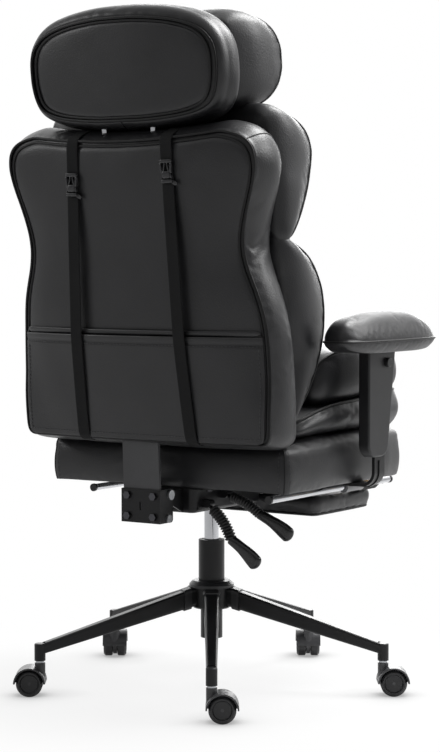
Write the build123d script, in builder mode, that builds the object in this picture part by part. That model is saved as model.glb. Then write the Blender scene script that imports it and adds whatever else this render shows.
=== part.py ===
"""Office chair with a reclining padded back, sliding footrest and five-star caster base.

Millimetres. The origin is on the floor under the gas column, +Z is up and the chair faces -Y.
"""
import math
import os

from build123d import *

os.makedirs("parts", exist_ok=True)

# Clearances
fit = 0.05  # radial play of a running fit
soft_gap = 0.5  # room between a cushion and what carries it
slide_gap = 0.3  # room between flat faces that pass each other

# Five-star base
leg_count = 5
first_leg_angle = 123.65
caster_circle = 340  # radius of the ring of caster stems
hub_radius = 38
hub_bottom = 150
hub_top = 196
collar_radius = 43
collar_rise = 7
leg_width_hub = 30
leg_height_hub = 36
leg_top_hub = 190
collar_skirt = hub_top - leg_top_hub - slide_gap  # how far the collar reaches down over the hub
leg_width_end = 19
leg_height_end = 20
leg_wall = 2
leg_collar_length = 14
leg_collar_wall = 2.5
socket_radius = 10.5
socket_bottom = 66
socket_top = 98.5
socket_lid = 4

# Gas column
tube_lower_radius = 21
tube_upper_radius = 25
tube_bottom = 92
tube_top = 282
tube_wall = 2.5
bush_length = 46
cylinder_radius = 14
cylinder_bottom = 152
cylinder_top = 385
cylinder_bore = 9
cylinder_lid = 12
gas_rod_radius = 5
gas_piston_height = 218
gas_piston_length = 10

# Twin-wheel casters
wheel_radius = 25
wheel_width = 18
wheel_inner_face = 5.2  # from the middle plane of the caster
wheel_rim = 7
wheel_dish = 3
caster_trail = 19
hood_radius = 30
hood_wall = 3
hood_half_width = 24.5
web_half_width = 4
web_radius = 21
axle_radius = 3
boss_radius = 10
boss_top = 62
stem_radius = 5.5
stem_top = 92
spigot_radius = 4
spigot_bottom = 47
stem_ring_radius = 8
caster_headings = (213.65, 213.65, 303.65, 303.65, 33.65)

# Seat mechanism, a pressed tray under the seat board
board_bottom = 398
board_thickness = 12
tray_half_width = 60
tray_front = -85
tray_rear = 150
tray_bottom = 350
tray_wall = 3
flange_reach = 35
column_boss_radius = 20
column_boss_bottom = 342
ear_offset = 30
ear_thickness = 4
ear_radius = 13
pin_y = 203
pin_z = 389
pin_radius = 6
pin_head_radius = 9
pin_head_length = 4

# Recline bracket and back bar
bar_half_width = 40
bar_thickness = 6
bracket_wall = 3
bracket_bottom = 338
bracket_top = 400
bracket_front = 193
bracket_rear = 235
bracket_slot_length = 16
bracket_slot_width = 5
bolt_radius = 4
bolt_spacing_x = 58
bolt_spacing_z = 38
bolt_head_size = 13
bolt_head_length = 5
lock_pin_y = 209
lock_pin_z = 346
lock_pin_radius = 5
bar_bend_z = 402
bar_top_z = 600

# Levers
lever_pin_radius = 3
lever_eye_radius = 7
lever_eye_width = 10
lever_clevis_wall = 3
lever_rod_radius = 4
lever_pivot_x = -70
bellows_valley = 7
bellows_crest = 9.2
bellows_bore = 5
bellows_ribs = 12
handle_length = 62
handle_width = 28
handle_thickness = 13
handle_neck = 10

# Back, which leans on a straight rear edge line
lean_foot_y = 217
lean_foot_z = 488
lean_slope = 0.1114
back_depth = 95
back_bow = 23  # of the rear face, where its half width is bow_half
bow_half = 260
back_board_half_width = 110
back_board_bottom = 500
back_board_top = 960
back_board_thickness = 12
pocket_inset = 9  # from the side edge of the rear box
pocket_bottom = 492
pocket_top = 683
pocket_mouth = 12
pocket_skin = 2.5
strap_width = 25
strap_thickness = 1.6
strap_top_x = 103
strap_bottom_x = 120
strap_tuck = 60
buckle_length = 46
buckle_width = 32
buckle_thickness = 9
buckle_left_z = 956
buckle_right_z = 976

# Headrest on two posts
post_spacing = 108
post_radius = 6
post_depth = 12  # in front of the rear edge line
post_bottom = 945
post_top = 1170
guide_radius = 10
guide_bottom = 925
head_depth = 64
head_bow = 14

# Arms
arm_bar_x = 306
arm_bar_thickness = 6
arm_bar_width = 38
arm_bar_y = -108
arm_bar_top = 610
arm_bar_inner_end = 110
arm_bend_radius = 22
arm_bead_width = 8
arm_bead_height = 2
arm_post_half_thickness = 12
arm_post_bottom = 450
arm_post_top = 648
arm_post_rear = -52
arm_post_front_low = -128
arm_post_front_top = -153
arm_pad_x = 316
arm_pad_front = -272
arm_pad_rear = 76
arm_pad_bottom = 648
arm_button_y = -118
arm_button_z = 627
arm_button_radius = 9
arm_button_stand = 7
arm_button_hole = 8

# Footrest
rail_x = 200
rail_z = 380
rail_radius = 6.5
rail_wall = 1.2
rail_rear = 108
rail_front = -340
rail_cap_length = 5
rail_cap_radius = 7.5
sleeve_radius = 11
sleeve_rear = -160
sleeve_front = -225
sleeve_web = 9
hinge_y = -331
hinge_pin_radius = 4
hinge_plate = 3
hinge_eye_radius = 9
hinge_flange_reach = 34
hinge_flange_front = -300
hinge_flange_rear = -235
footrest_front = -310
footrest_rear = -95
footrest_bottom = 326
footrest_top = 365

seat_bolt_radius = 3
seat_bolt_head_radius = 6
seat_bolt_head = 4


def save(builder, name):
    """Label a finished piece and write its file."""
    builder.part.label = name
    export_step(builder.part, f"parts/{name}.step")


def rear_line(z):
    """Y of the leaning rear edge of the back at height z."""
    return lean_foot_y + lean_slope * (z - lean_foot_z)


def bowed(start, end, bow):
    """One side of a section, straight or standing out by bow on its right."""
    if bow == 0:
        return Line(start, end)
    dx, dy = end[0] - start[0], end[1] - start[1]
    length = math.hypot(dx, dy)
    middle = ((start[0] + end[0]) / 2 + bow * dy / length, (start[1] + end[1]) / 2 - bow * dx / length)
    return ThreePointArc(start, middle, end)


def padded_section(plane, half, low, high, low_bow=0, high_bow=0, side_bow=0, shift=0):
    """Closed four-sided section of a cushion, its width along the plane's x axis."""
    with BuildSketch(plane) as section:
        with BuildLine():
            bowed((shift - half, low), (shift + half, low), low_bow)
            bowed((shift + half, low), (shift + half, high), side_bow)
            bowed((shift + half, high), (shift - half, high), high_bow)
            bowed((shift - half, high), (shift - half, low), side_bow)
        make_face()
    return section.sketch


def upright_plane(y):
    """Plane across the chair at y, with x along X and y along Z."""
    return Plane(origin=(0, y, 0), x_dir=(1, 0, 0), z_dir=(0, -1, 0))


def side_plane(x):
    """Plane along the chair at x, with x along Y and y along Z."""
    return Plane(origin=(x, 0, 0), x_dir=(0, 1, 0), z_dir=(1, 0, 0))


lean_up = Vector(0, lean_slope, 1).normalized()
lean_rear = Vector(0, 1, -lean_slope).normalized()


def lean_plane(depth, z):
    """Plane parallel to the leaning back, depth in front of its rear edge line at height z."""
    return Plane(origin=(0, rear_line(z) - depth, z), x_dir=(-1, 0, 0), z_dir=lean_rear)


# Hub with its bore for the gas column
with BuildPart() as base_hub:
    with Locations((0, 0, hub_bottom)):
        Cylinder(hub_radius, hub_top - hub_bottom, align=(Align.CENTER, Align.CENTER, Align.MIN))
        Hole(tube_lower_radius + fit)
    chamfer(base_hub.edges().group_by(Axis.Z)[0].filter_by(GeomType.CIRCLE), 3)
save(base_hub, "base_hub")

# One tapered leg tube, made along +X, welded between the hub and the caster socket
leg_drop = (leg_top_hub - leg_height_hub / 2) - (socket_top - leg_height_end / 2 - 1)
leg_run = caster_circle - hub_radius


def leg_section(x, wall):
    """Rounded box section of the leg at distance x from the column, inset by wall."""
    part = (x - hub_radius) / leg_run
    width = leg_width_hub + (leg_width_end - leg_width_hub) * part - 2 * wall
    height = leg_height_hub + (leg_height_end - leg_height_hub) * part - 2 * wall
    middle = leg_top_hub - leg_height_hub / 2 - leg_drop * part
    with BuildSketch(Plane(origin=(x, 0, middle), x_dir=(0, 1, 0), z_dir=(1, 0, 0))) as section:
        RectangleRounded(width, height, min(width, height) * 0.22)
    return section.sketch


leg_start = hub_radius * 0.8
with BuildPart() as leg_tube:
    loft(sections=[leg_section(leg_start, 0), leg_section(caster_circle, 0)])
    loft(sections=[leg_section(leg_start, leg_wall), leg_section(caster_circle, leg_wall)], mode=Mode.SUBTRACT)
    Cylinder(hub_radius + fit, 3 * hub_top, mode=Mode.SUBTRACT)
    with Locations((caster_circle, 0, 0)):
        Cylinder(socket_radius + fit, 3 * socket_top, mode=Mode.SUBTRACT)

with BuildPart() as base_legs:
    with PolarLocations(0, leg_count, first_leg_angle):
        add(leg_tube.part)
save(base_legs, "base_legs")

# Plastic collars: one over the hub and one round the root of each leg
leg_collar_start = hub_radius + leg_collar_length * 0.5
with BuildPart() as leg_collar:
    loft(sections=[leg_section(leg_collar_start, -leg_collar_wall),
                   leg_section(leg_collar_start + leg_collar_length, -leg_collar_wall)])
    loft(sections=[leg_section(leg_collar_start, -fit),
                   leg_section(leg_collar_start + leg_collar_length, -fit)], mode=Mode.SUBTRACT)

with BuildPart() as base_collars:
    with BuildSketch(Plane.XZ):
        with BuildLine():
            Polyline((tube_upper_radius + fit, hub_top + fit), (tube_upper_radius + fit, hub_top + collar_rise),
                     (collar_radius - collar_rise, hub_top + collar_rise), (collar_radius, hub_top),
                     (collar_radius, hub_top - collar_skirt), (hub_radius + fit, hub_top - collar_skirt),
                     (hub_radius + fit, hub_top + fit), close=True)
        make_face()
    revolve(axis=Axis.Z)
    with PolarLocations(0, leg_count, first_leg_angle):
        add(leg_collar.part)
save(base_collars, "base_collars")

# Sockets at the leg ends
with BuildPart() as leg_sockets:
    with PolarLocations(caster_circle, leg_count, first_leg_angle):
        with Locations((0, 0, socket_bottom)):
            Cylinder(socket_radius, socket_top - socket_bottom, align=(Align.CENTER, Align.CENTER, Align.MIN))
            Cylinder(stem_radius + fit, socket_top - socket_bottom - socket_lid,
                     align=(Align.CENTER, Align.CENTER, Align.MIN), mode=Mode.SUBTRACT)
    chamfer(leg_sockets.edges().group_by(Axis.Z)[-1], 1.5)
save(leg_sockets, "leg_sockets")

# Stems pressed into the sockets, each with a ring that the caster turns under
with BuildPart() as one_stem:
    with BuildSketch(Plane.XZ):
        with BuildLine():
            Polyline((0, spigot_bottom), (spigot_radius, spigot_bottom), (spigot_radius, boss_top + slide_gap),
                     (stem_ring_radius, boss_top + slide_gap), (stem_ring_radius, socket_bottom),
                     (stem_radius, socket_bottom), (stem_radius, stem_top), (0, stem_top), close=True)
        make_face()
    revolve(axis=Axis.Z)

with BuildPart() as caster_stems:
    with PolarLocations(caster_circle, leg_count, first_leg_angle):
        add(one_stem.part)
save(caster_stems, "caster_stems")

# Gas column: stepped outer tube, guide bush, fixed rod and the chromed cylinder that lifts the seat
with BuildPart() as gas_outer_tube:
    with BuildSketch(Plane.XZ):
        with BuildLine():
            Polyline((0, tube_bottom), (tube_lower_radius, tube_bottom), (tube_lower_radius, hub_top),
                     (tube_upper_radius, hub_top), (tube_upper_radius, tube_top),
                     (tube_upper_radius - tube_wall, tube_top),
                     (tube_upper_radius - tube_wall, hub_top + tube_wall),
                     (tube_lower_radius - tube_wall, hub_top + tube_wall),
                     (tube_lower_radius - tube_wall, tube_bottom + tube_wall), (0, tube_bottom + tube_wall),
                     close=True)
        make_face()
    revolve(axis=Axis.Z)
save(gas_outer_tube, "gas_outer_tube")

with BuildPart() as gas_guide_bush:
    with Locations((0, 0, tube_top)):
        Cylinder(tube_upper_radius - tube_wall - fit, bush_length, align=(Align.CENTER, Align.CENTER, Align.MAX))
        Hole(cylinder_radius + fit)
save(gas_guide_bush, "gas_guide_bush")

with BuildPart() as gas_rod:
    with Locations((0, 0, tube_bottom + tube_wall)):
        Cylinder(gas_rod_radius, gas_piston_height - tube_bottom - tube_wall,
                 align=(Align.CENTER, Align.CENTER, Align.MIN))
    with Locations((0, 0, gas_piston_height)):
        Cylinder(cylinder_bore - fit, gas_piston_length, align=(Align.CENTER, Align.CENTER, Align.MIN))
save(gas_rod, "gas_rod")

with BuildPart() as gas_cylinder:
    with Locations((0, 0, cylinder_bottom)):
        Cylinder(cylinder_radius, cylinder_top - cylinder_bottom, align=(Align.CENTER, Align.CENTER, Align.MIN))
        Cylinder(cylinder_bore, cylinder_top - cylinder_bottom - cylinder_lid,
                 align=(Align.CENTER, Align.CENTER, Align.MIN), mode=Mode.SUBTRACT)
    chamfer(gas_cylinder.edges().group_by(Axis.Z)[-1], 1.5)
save(gas_cylinder, "gas_cylinder")

# One caster hood, swivelling about Z at its own origin and trailing along +X
axle_plane = Plane(origin=(caster_trail, 0, wheel_radius), x_dir=(1, 0, 0), z_dir=(0, -1, 0))
wheel_room = wheel_radius + (hood_radius - hood_wall - wheel_radius)
with BuildPart() as hood:
    with BuildSketch(axle_plane):
        Circle(hood_radius)
        Rectangle(2 * hood_radius, hood_radius, align=(Align.CENTER, Align.MAX), mode=Mode.SUBTRACT)
    extrude(amount=hood_half_width, both=True)
    with Locations((0, 0, boss_top)):
        Cylinder(boss_radius, boss_top - wheel_radius - hood_wall, align=(Align.CENTER, Align.CENTER, Align.MAX))
    with BuildSketch(axle_plane.offset(web_half_width), axle_plane.offset(-web_half_width - hood_half_width)):
        Circle(wheel_room)
    extrude(amount=hood_half_width, mode=Mode.SUBTRACT)
    with BuildSketch(axle_plane):
        Circle(web_radius)
    extrude(amount=web_half_width, both=True)
    with BuildSketch(axle_plane):
        Circle(axle_radius)
    extrude(amount=wheel_inner_face + wheel_width - wheel_dish, both=True)
    with Locations((0, 0, boss_top)):
        Cylinder(spigot_radius + fit, boss_top - spigot_bottom + slide_gap,
                 align=(Align.CENTER, Align.CENTER, Align.MAX), mode=Mode.SUBTRACT)

# One wheel, turned about Z at its own origin with its outer face up, then stood on both sides
with BuildPart() as wheel:
    with BuildSketch(Plane.XZ):
        with BuildLine():
            Polyline((axle_radius + fit, 0), (wheel_radius - 2, 0), (wheel_radius, 2),
                     (wheel_radius, wheel_width - 4), (wheel_radius - 4, wheel_width),
                     (wheel_radius - wheel_rim, wheel_width), (wheel_radius - wheel_rim - 2, wheel_width - wheel_dish),
                     (axle_radius + fit, wheel_width - wheel_dish), close=True)
        make_face()
    revolve(axis=Axis.Z)

with BuildPart() as wheel_pair:
    for side in (1, -1):
        face = Plane(origin=(caster_trail, side * wheel_inner_face, wheel_radius), x_dir=(1, 0, 0),
                     z_dir=(0, side, 0))
        with Locations(face):
            add(wheel.part)

for number in range(leg_count):
    leg_angle = math.radians(first_leg_angle + number * 360 / leg_count)
    stem_place = Location((caster_circle * math.cos(leg_angle), caster_circle * math.sin(leg_angle), 0),
                          (0, 0, caster_headings[number]))
    with BuildPart() as caster_hood:
        with Locations(stem_place):
            add(hood.part)
    save(caster_hood, f"caster_hood_{number + 1}")
    with BuildPart() as caster_wheels:
        with Locations(stem_place):
            add(wheel_pair.part)
    save(caster_wheels, f"caster_wheels_{number + 1}")

# Lever routes: pivot, and the arc of the flexible cover from its neck to the handle
lever_routes = {
    "recline": {"y": 112, "pivot_z": 366, "bend": -5, "end": (-118, 302), "handle": (-0.80, -0.60)},
    "height": {"y": 54, "pivot_z": 379, "bend": -4, "end": (-144, 345), "handle": (-0.87, -0.49)},
}
tray_top = board_bottom - tray_wall

# Pressed mechanism tray with the column boss, recline ears and the lever clevises
with BuildPart() as mechanism_tray:
    with Locations((0, (tray_front + tray_rear) / 2, tray_bottom)):
        Box(2 * tray_half_width, tray_rear - tray_front, tray_top - tray_bottom,
            align=(Align.CENTER, Align.CENTER, Align.MIN))
    fillet(mechanism_tray.edges().filter_by(Axis.Z), 14)
    fillet(mechanism_tray.edges().group_by(Axis.Z)[0], 6)
    offset(amount=-tray_wall, openings=mechanism_tray.faces().sort_by(Axis.Z)[-1])
    with BuildSketch(Plane.XY.offset(tray_top)):
        with Locations((0, (tray_front + tray_rear) / 2)):
            RectangleRounded(2 * (tray_half_width + flange_reach), tray_rear - tray_front, 16)
            RectangleRounded(2 * (tray_half_width - tray_wall), tray_rear - tray_front - 2 * tray_wall,
                             11, mode=Mode.SUBTRACT)
    extrude(amount=tray_wall)
    with Locations((0, 0, column_boss_bottom)):
        Cylinder(column_boss_radius, tray_top - column_boss_bottom,
                 align=(Align.CENTER, Align.CENTER, Align.MIN))
    for side in (1, -1):
        with BuildSketch(side_plane(side * (ear_offset + ear_thickness / 2))):
            with BuildLine():
                Polyline((tray_rear - 12, tray_bottom + 2), (tray_rear, tray_bottom + 2),
                         (pin_y - 4, pin_z - ear_radius), (pin_y, pin_z + 7), (tray_rear - 12, tray_top - 1),
                         close=True)
            make_face()
            with Locations((pin_y, pin_z)):
                Circle(ear_radius)
            with Locations((pin_y, board_bottom - 1 + ear_radius)):
                Rectangle(6 * ear_radius, 2 * ear_radius, mode=Mode.SUBTRACT)
        extrude(amount=ear_thickness / 2, both=True)
    for route in lever_routes.values():
        for side in (1, -1):
            cheek = route["y"] + side * (lever_eye_width / 2 + slide_gap + lever_clevis_wall / 2)
            with BuildSketch(Plane.XZ.offset(-cheek)):
                with Locations((lever_pivot_x, route["pivot_z"])):
                    Circle(lever_eye_radius)
                    Rectangle(-lever_pivot_x - tray_half_width + tray_wall / 2, 2 * lever_eye_radius,
                              align=(Align.MIN, Align.CENTER))
            extrude(amount=lever_clevis_wall / 2, both=True)
        with BuildSketch(Plane.XZ.offset(-route["y"])):
            with Locations((lever_pivot_x, route["pivot_z"])):
                Circle(lever_pin_radius)
        extrude(amount=lever_eye_width / 2 + slide_gap + lever_clevis_wall / 2, both=True)
    with Locations((0, 0, column_boss_bottom)):
        Cylinder(cylinder_radius + fit, cylinder_top - column_boss_bottom + slide_gap,
                 align=(Align.CENTER, Align.CENTER, Align.MIN), mode=Mode.SUBTRACT)
    with BuildSketch(side_plane(0)):
        with Locations((pin_y, pin_z)):
            Circle(pin_radius + fit)
    extrude(amount=ear_offset + 2 * ear_thickness, both=True, mode=Mode.SUBTRACT)
    with Locations((0, (tray_front + tray_rear) / 2, tray_top)):
        with GridLocations(2 * tray_half_width + flange_reach, tray_rear - tray_front - 50, 2, 2):
            Cylinder(seat_bolt_radius + fit, 4 * tray_wall, mode=Mode.SUBTRACT)
save(mechanism_tray, "mechanism_tray")


def headed_pin(y, z, radius, half_length):
    """Cross pin along X with a round head on each end."""
    with BuildPart() as pin:
        with BuildSketch(side_plane(0)):
            with Locations((y, z)):
                Circle(radius)
        extrude(amount=half_length, both=True)
        with BuildSketch(side_plane(half_length), side_plane(-half_length - pin_head_length)):
            with Locations((y, z)):
                Circle(pin_head_radius * radius / pin_radius)
        extrude(amount=pin_head_length)
    return pin


cheek_inner = bar_half_width + slide_gap
cheek_outer = cheek_inner + bracket_wall
recline_pin = headed_pin(pin_y, pin_z, pin_radius, cheek_outer + slide_gap)
save(recline_pin, "recline_pin")
lock_pin = headed_pin(lock_pin_y, lock_pin_z, lock_pin_radius, cheek_outer + fit)
save(lock_pin, "lock_pin")

# Bracket that swings on the recline pin, its rear plate bolted to the back bar
bolt_places_z = ((bracket_bottom + bracket_top) / 2 - bolt_spacing_z / 2,
                 (bracket_bottom + bracket_top) / 2 + bolt_spacing_z / 2)
rear_face = Plane(origin=(0, bracket_rear, (bracket_bottom + bracket_top) / 2), x_dir=(-1, 0, 0), z_dir=(0, 1, 0))
with BuildPart() as recline_bracket:
    with BuildSketch(rear_face):
        Rectangle(2 * cheek_outer, bracket_top - bracket_bottom)
        with GridLocations(bolt_spacing_x, bolt_spacing_z, 2, 2):
            Circle(bolt_radius + fit, mode=Mode.SUBTRACT)
        SlotOverall(bracket_slot_length, bracket_slot_width, rotation=90, mode=Mode.SUBTRACT)
    extrude(amount=-bracket_wall)
    for side in (1, -1):
        with BuildSketch(side_plane(side * (cheek_inner + bracket_wall / 2))):
            with Locations(((bracket_front + bracket_rear) / 2, (bracket_bottom + bracket_top) / 2)):
                RectangleRounded(bracket_rear - bracket_front, bracket_top - bracket_bottom, 6)
            with Locations((bracket_rear - 6, (bracket_bottom + bracket_top) / 2)):
                Rectangle(12, bracket_top - bracket_bottom)
            with Locations((pin_y, pin_z)):
                Circle(pin_radius + fit, mode=Mode.SUBTRACT)
            with Locations((lock_pin_y, lock_pin_z)):
                Circle(lock_pin_radius + fit, mode=Mode.SUBTRACT)
        extrude(amount=bracket_wall / 2, both=True)
save(recline_bracket, "recline_bracket")

with BuildPart() as bracket_bolts:
    with BuildSketch(rear_face):
        with GridLocations(bolt_spacing_x, bolt_spacing_z, 2, 2):
            RegularPolygon(bolt_head_size / 2, 6, major_radius=False)
    extrude(amount=bolt_head_length)
    with BuildSketch(rear_face):
        with GridLocations(bolt_spacing_x, bolt_spacing_z, 2, 2):
            Circle(bolt_radius)
    extrude(amount=-bracket_wall - bar_thickness)
save(bracket_bolts, "bracket_bolts")

# Flat back bar, upright in the bracket and leaning inside the back
bar_middle = bracket_rear - bracket_wall - bar_thickness / 2
bar_entry_y = bar_middle + 4
bar_route = [(bar_middle, bracket_bottom + 4), (bar_middle, bar_bend_z), (bar_entry_y, lean_foot_z),
             (bar_entry_y + lean_slope * (bar_top_z - lean_foot_z), bar_top_z)]


def bar_side(spread):
    """Side view of the back bar, thickened by spread on each face."""
    half = bar_thickness / 2 + spread
    rear = [(y + half, z) for y, z in bar_route]
    front = [(y - half, z) for y, z in reversed(bar_route)]
    with BuildSketch(Plane.YZ) as outline:
        with BuildLine():
            Polyline(*rear, *front, close=True)
        make_face()
    return outline.sketch


with BuildPart() as j_bar:
    extrude(bar_side(0), amount=bar_half_width, both=True)
    with BuildSketch(rear_face):
        with GridLocations(bolt_spacing_x, bolt_spacing_z, 2, 2):
            Circle(bolt_radius + fit)
    extrude(amount=-bracket_wall - 2 * bar_thickness, mode=Mode.SUBTRACT)
save(j_bar, "j_bar")

# Plywood board inside the back, standing against the front of the bar
board_front_depth = -(bar_entry_y - lean_foot_y - bar_thickness / 2 - slide_gap) + back_board_thickness
back_board_middle = (back_board_bottom + back_board_top) / 2


def board_block(spread):
    """Upholstery board of the back as a leaning slab, grown by spread all round."""
    with BuildPart() as slab:
        with BuildSketch(lean_plane(board_front_depth + spread, back_board_middle)):
            RectangleRounded(2 * (back_board_half_width + spread),
                             (back_board_top - back_board_bottom) + 2 * spread, 20)
        extrude(amount=back_board_thickness + 2 * spread)
    return slab


back_board = board_block(0)
save(back_board, "back_board")

# Rear box of the back: height, half width of each level of its waisted outline
back_levels = [(490, 262), (506, 271), (565, 275), (675, 272), (747, 262), (816, 241), (847, 238), (940, 261),
               (990, 269), (1018, 258), (1034, 226), (1040, 190)]
guide_places = ((post_spacing / 2, 0), (-post_spacing / 2, 0))


def back_level(z, half):
    """Level section of the rear box, bowed at the rear."""
    rear = rear_line(z)
    return padded_section(Plane.XY.offset(z), half, rear - back_depth, rear, high_bow=back_bow * half / bow_half,
                          side_bow=3)


back_top = back_levels[-1][0]
with BuildPart() as back_shell:
    loft(sections=[back_level(z, half) for z, half in back_levels])
    with Locations(Location((0, rear_line(back_top) - back_depth / 2, back_top + 400 - 14))):
        Cylinder(400, 4 * back_depth, rotation=(90, 0, 0), mode=Mode.SUBTRACT)
    extrude(bar_side(slide_gap), amount=bar_half_width + slide_gap, both=True, mode=Mode.SUBTRACT)
    add(board_block(slide_gap).part, mode=Mode.SUBTRACT)
    with BuildSketch(Plane(origin=(0, rear_line(guide_bottom) - post_depth, guide_bottom), x_dir=(1, 0, 0),
                           z_dir=lean_up)):
        with Locations(*guide_places):
            Circle(guide_radius + fit)
    extrude(amount=back_top - guide_bottom + 40, mode=Mode.SUBTRACT)
save(back_shell, "back_shell")


def shell_half(z):
    """Half width of the rear box at height z, straight between its levels."""
    for (low_z, low_half), (high_z, high_half) in zip(back_levels, back_levels[1:]):
        if low_z <= z <= high_z:
            return low_half + (high_half - low_half) * (z - low_z) / (high_z - low_z)
    return back_levels[-1][1]


# Sewn pocket on the lower rear, standing open at its mouth
def pocket_level(z, opening):
    """Thin bowed section of the pocket panel, standing off by opening at the middle."""
    half = shell_half(z) - pocket_inset
    crown = back_bow * shell_half(z) / bow_half
    edge = rear_line(z) + crown * (1 - (half / shell_half(z)) ** 2) + soft_gap
    middle = rear_line(z) + crown + soft_gap + opening
    with BuildSketch(Plane.XY.offset(z)) as section:
        with BuildLine():
            ThreePointArc((-half, edge + pocket_skin), (0, middle + pocket_skin), (half, edge + pocket_skin))
            Line((half, edge + pocket_skin), (half, edge))
            ThreePointArc((half, edge), (0, middle), (-half, edge))
            Line((-half, edge), (-half, edge + pocket_skin))
        make_face()
    return section.sketch


pocket_levels = [(pocket_bottom, 0.05), (506, 0.1), (565, 0.45), (pocket_top - 8, 0.96), (pocket_top, 1)]
with BuildPart() as back_pocket:
    loft(sections=[pocket_level(z, share * pocket_mouth) for z, share in pocket_levels])
save(back_pocket, "back_pocket")

# Front cushions of the back: height, half width, depth of the front edge, crown
upper_levels = [(866, 242, 142, 14), (890, 248, 160, 19), (924, 250, 182, 23), (955, 250, 200, 25), (990, 250, 215, 26),
                (1018, 250, 221, 25), (1038, 249, 216, 23), (1052, 247, 206, 20), (1066, 242, 189, 15),
                (1078, 232, 162, 9), (1086, 218, 132, 4)]
lumbar_levels = [(508, 240, 104, 6), (538, 250, 133, 10), (578, 256, 172, 15), (608, 258, 195, 18),
                 (645, 258, 217, 21), (690, 259, 230, 23), (737, 259, 231, 23), (774, 258, 223, 22),
                 (805, 257, 205, 18), (834, 252, 172, 13), (853, 243, 132, 7), (861, 236, 106, 3)]


def front_cushion(levels):
    """Padded cushion in front of the rear box, lofted upwards through its levels."""
    sections = []
    for z, half, depth, crown in levels:
        rear = rear_line(z)
        sections.append(padded_section(Plane.XY.offset(z), half, rear - depth, rear - back_depth - soft_gap,
                                       low_bow=crown, side_bow=min(6, 0.08 * (depth - back_depth) + 0.5)))
    with BuildPart() as cushion:
        loft(sections=sections)
    return cushion


upper_back_cushion = front_cushion(upper_levels)
save(upper_back_cushion, "upper_back_cushion")
lumbar_cushion = front_cushion(lumbar_levels)
save(lumbar_cushion, "lumbar_cushion")

# Webbing straps down the rear, over the pocket, tucked in at the top and the bottom
strap_off_top = back_bow
strap_off_mouth = back_bow + pocket_mouth + pocket_skin
strap_tilt = math.atan2(strap_bottom_x - strap_top_x, back_top - lean_foot_z)
strap_over_top = back_top + soft_gap
strap_under = lean_foot_z - soft_gap - strap_thickness


def strap_frame(side):
    """Side-view plane of one strap, tilted so that the straps spread towards the bottom."""
    middle_x = side * (strap_top_x + strap_bottom_x) / 2
    middle_z = (back_top + lean_foot_z) / 2
    return Plane(origin=(middle_x, 0, middle_z), x_dir=(0, 1, 0),
                 z_dir=(math.cos(strap_tilt), 0, side * math.sin(strap_tilt)))


def strap_rear(z, offset_y):
    """Point of the strap's inner face at height z, offset_y behind the rear edge line."""
    return (rear_line(z) + offset_y, z - (back_top + lean_foot_z) / 2)


with BuildPart() as straps:
    for side in (1, -1):
        with BuildSketch(strap_frame(side)) as strap_side:
            with BuildLine():
                route = Polyline(strap_rear(strap_over_top, -strap_tuck), strap_rear(strap_over_top, strap_off_top),
                                 strap_rear(pocket_top, strap_off_mouth), strap_rear(strap_under, strap_off_top + 6),
                                 strap_rear(strap_under, -strap_tuck))
                offset(amount=strap_thickness, side=Side.LEFT)
            make_face()
        extrude(amount=strap_width / 2, both=True)
save(straps, "straps")

# Side-release buckles on the straps
with BuildPart() as strap_buckles:
    for side, buckle_z in ((1, buckle_left_z), (-1, buckle_right_z)):
        slope = (strap_off_mouth - strap_off_top) / (back_top - pocket_top)
        stand = strap_off_top + slope * (back_top - buckle_z) + strap_thickness + slide_gap
        buckle_x = side * (strap_top_x + (strap_bottom_x - strap_top_x) * (back_top - buckle_z) /
                           (back_top - lean_foot_z))
        with BuildSketch(Plane(origin=(buckle_x, rear_line(buckle_z) + stand, buckle_z), x_dir=(-1, 0, 0),
                               z_dir=Vector(0, 1, -lean_slope + slope))):
            RectangleRounded(buckle_width, buckle_length, 5)
            with Locations((buckle_width / 2, 0), (-buckle_width / 2, 0)):
                SlotOverall(buckle_length * 0.36, 7, rotation=90, mode=Mode.SUBTRACT)
        extrude(amount=buckle_thickness)
    chamfer(strap_buckles.faces().filter_by(Axis.Y, tolerance=20).sort_by(Axis.Y)[-2:].edges(), 1)
save(strap_buckles, "strap_buckles")


# Headrest guides in the back, posts, rear box and cushion
def post_plane(z):
    """Plane square to the posts at height z."""
    return Plane(origin=(0, rear_line(z) - post_depth, z), x_dir=(1, 0, 0), z_dir=lean_up)


guide_top = back_top - 6
with BuildPart() as headrest_guides:
    with BuildSketch(post_plane(guide_bottom)):
        with Locations(*guide_places):
            Circle(guide_radius)
    extrude(amount=guide_top - guide_bottom)
    with BuildSketch(post_plane(guide_bottom)):
        with Locations(*guide_places):
            Circle(post_radius + fit)
    extrude(amount=2 * guide_top, mode=Mode.SUBTRACT)
save(headrest_guides, "headrest_guides")

with BuildPart() as headrest_posts:
    with BuildSketch(post_plane(post_bottom)):
        with Locations(*guide_places):
            Circle(post_radius)
    extrude(amount=post_top - post_bottom)
save(headrest_posts, "headrest_posts")

head_levels = [(1059, 150), (1066, 180), (1085, 200), (1130, 210), (1180, 211), (1220, 204), (1245, 182),
               (1260, 145), (1268, 90)]
with BuildPart() as headrest_shell:
    sections = []
    for z, half in head_levels:
        rear = rear_line(z)
        sections.append(padded_section(Plane.XY.offset(z), half, rear - head_depth, rear,
                                       high_bow=head_bow * half / 211, side_bow=4))
    loft(sections=sections)
    with BuildSketch(post_plane(post_bottom)):
        with Locations(*guide_places):
            Circle(post_radius + fit)
    extrude(amount=post_top - post_bottom + slide_gap, mode=Mode.SUBTRACT)
save(headrest_shell, "headrest_shell")

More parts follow.
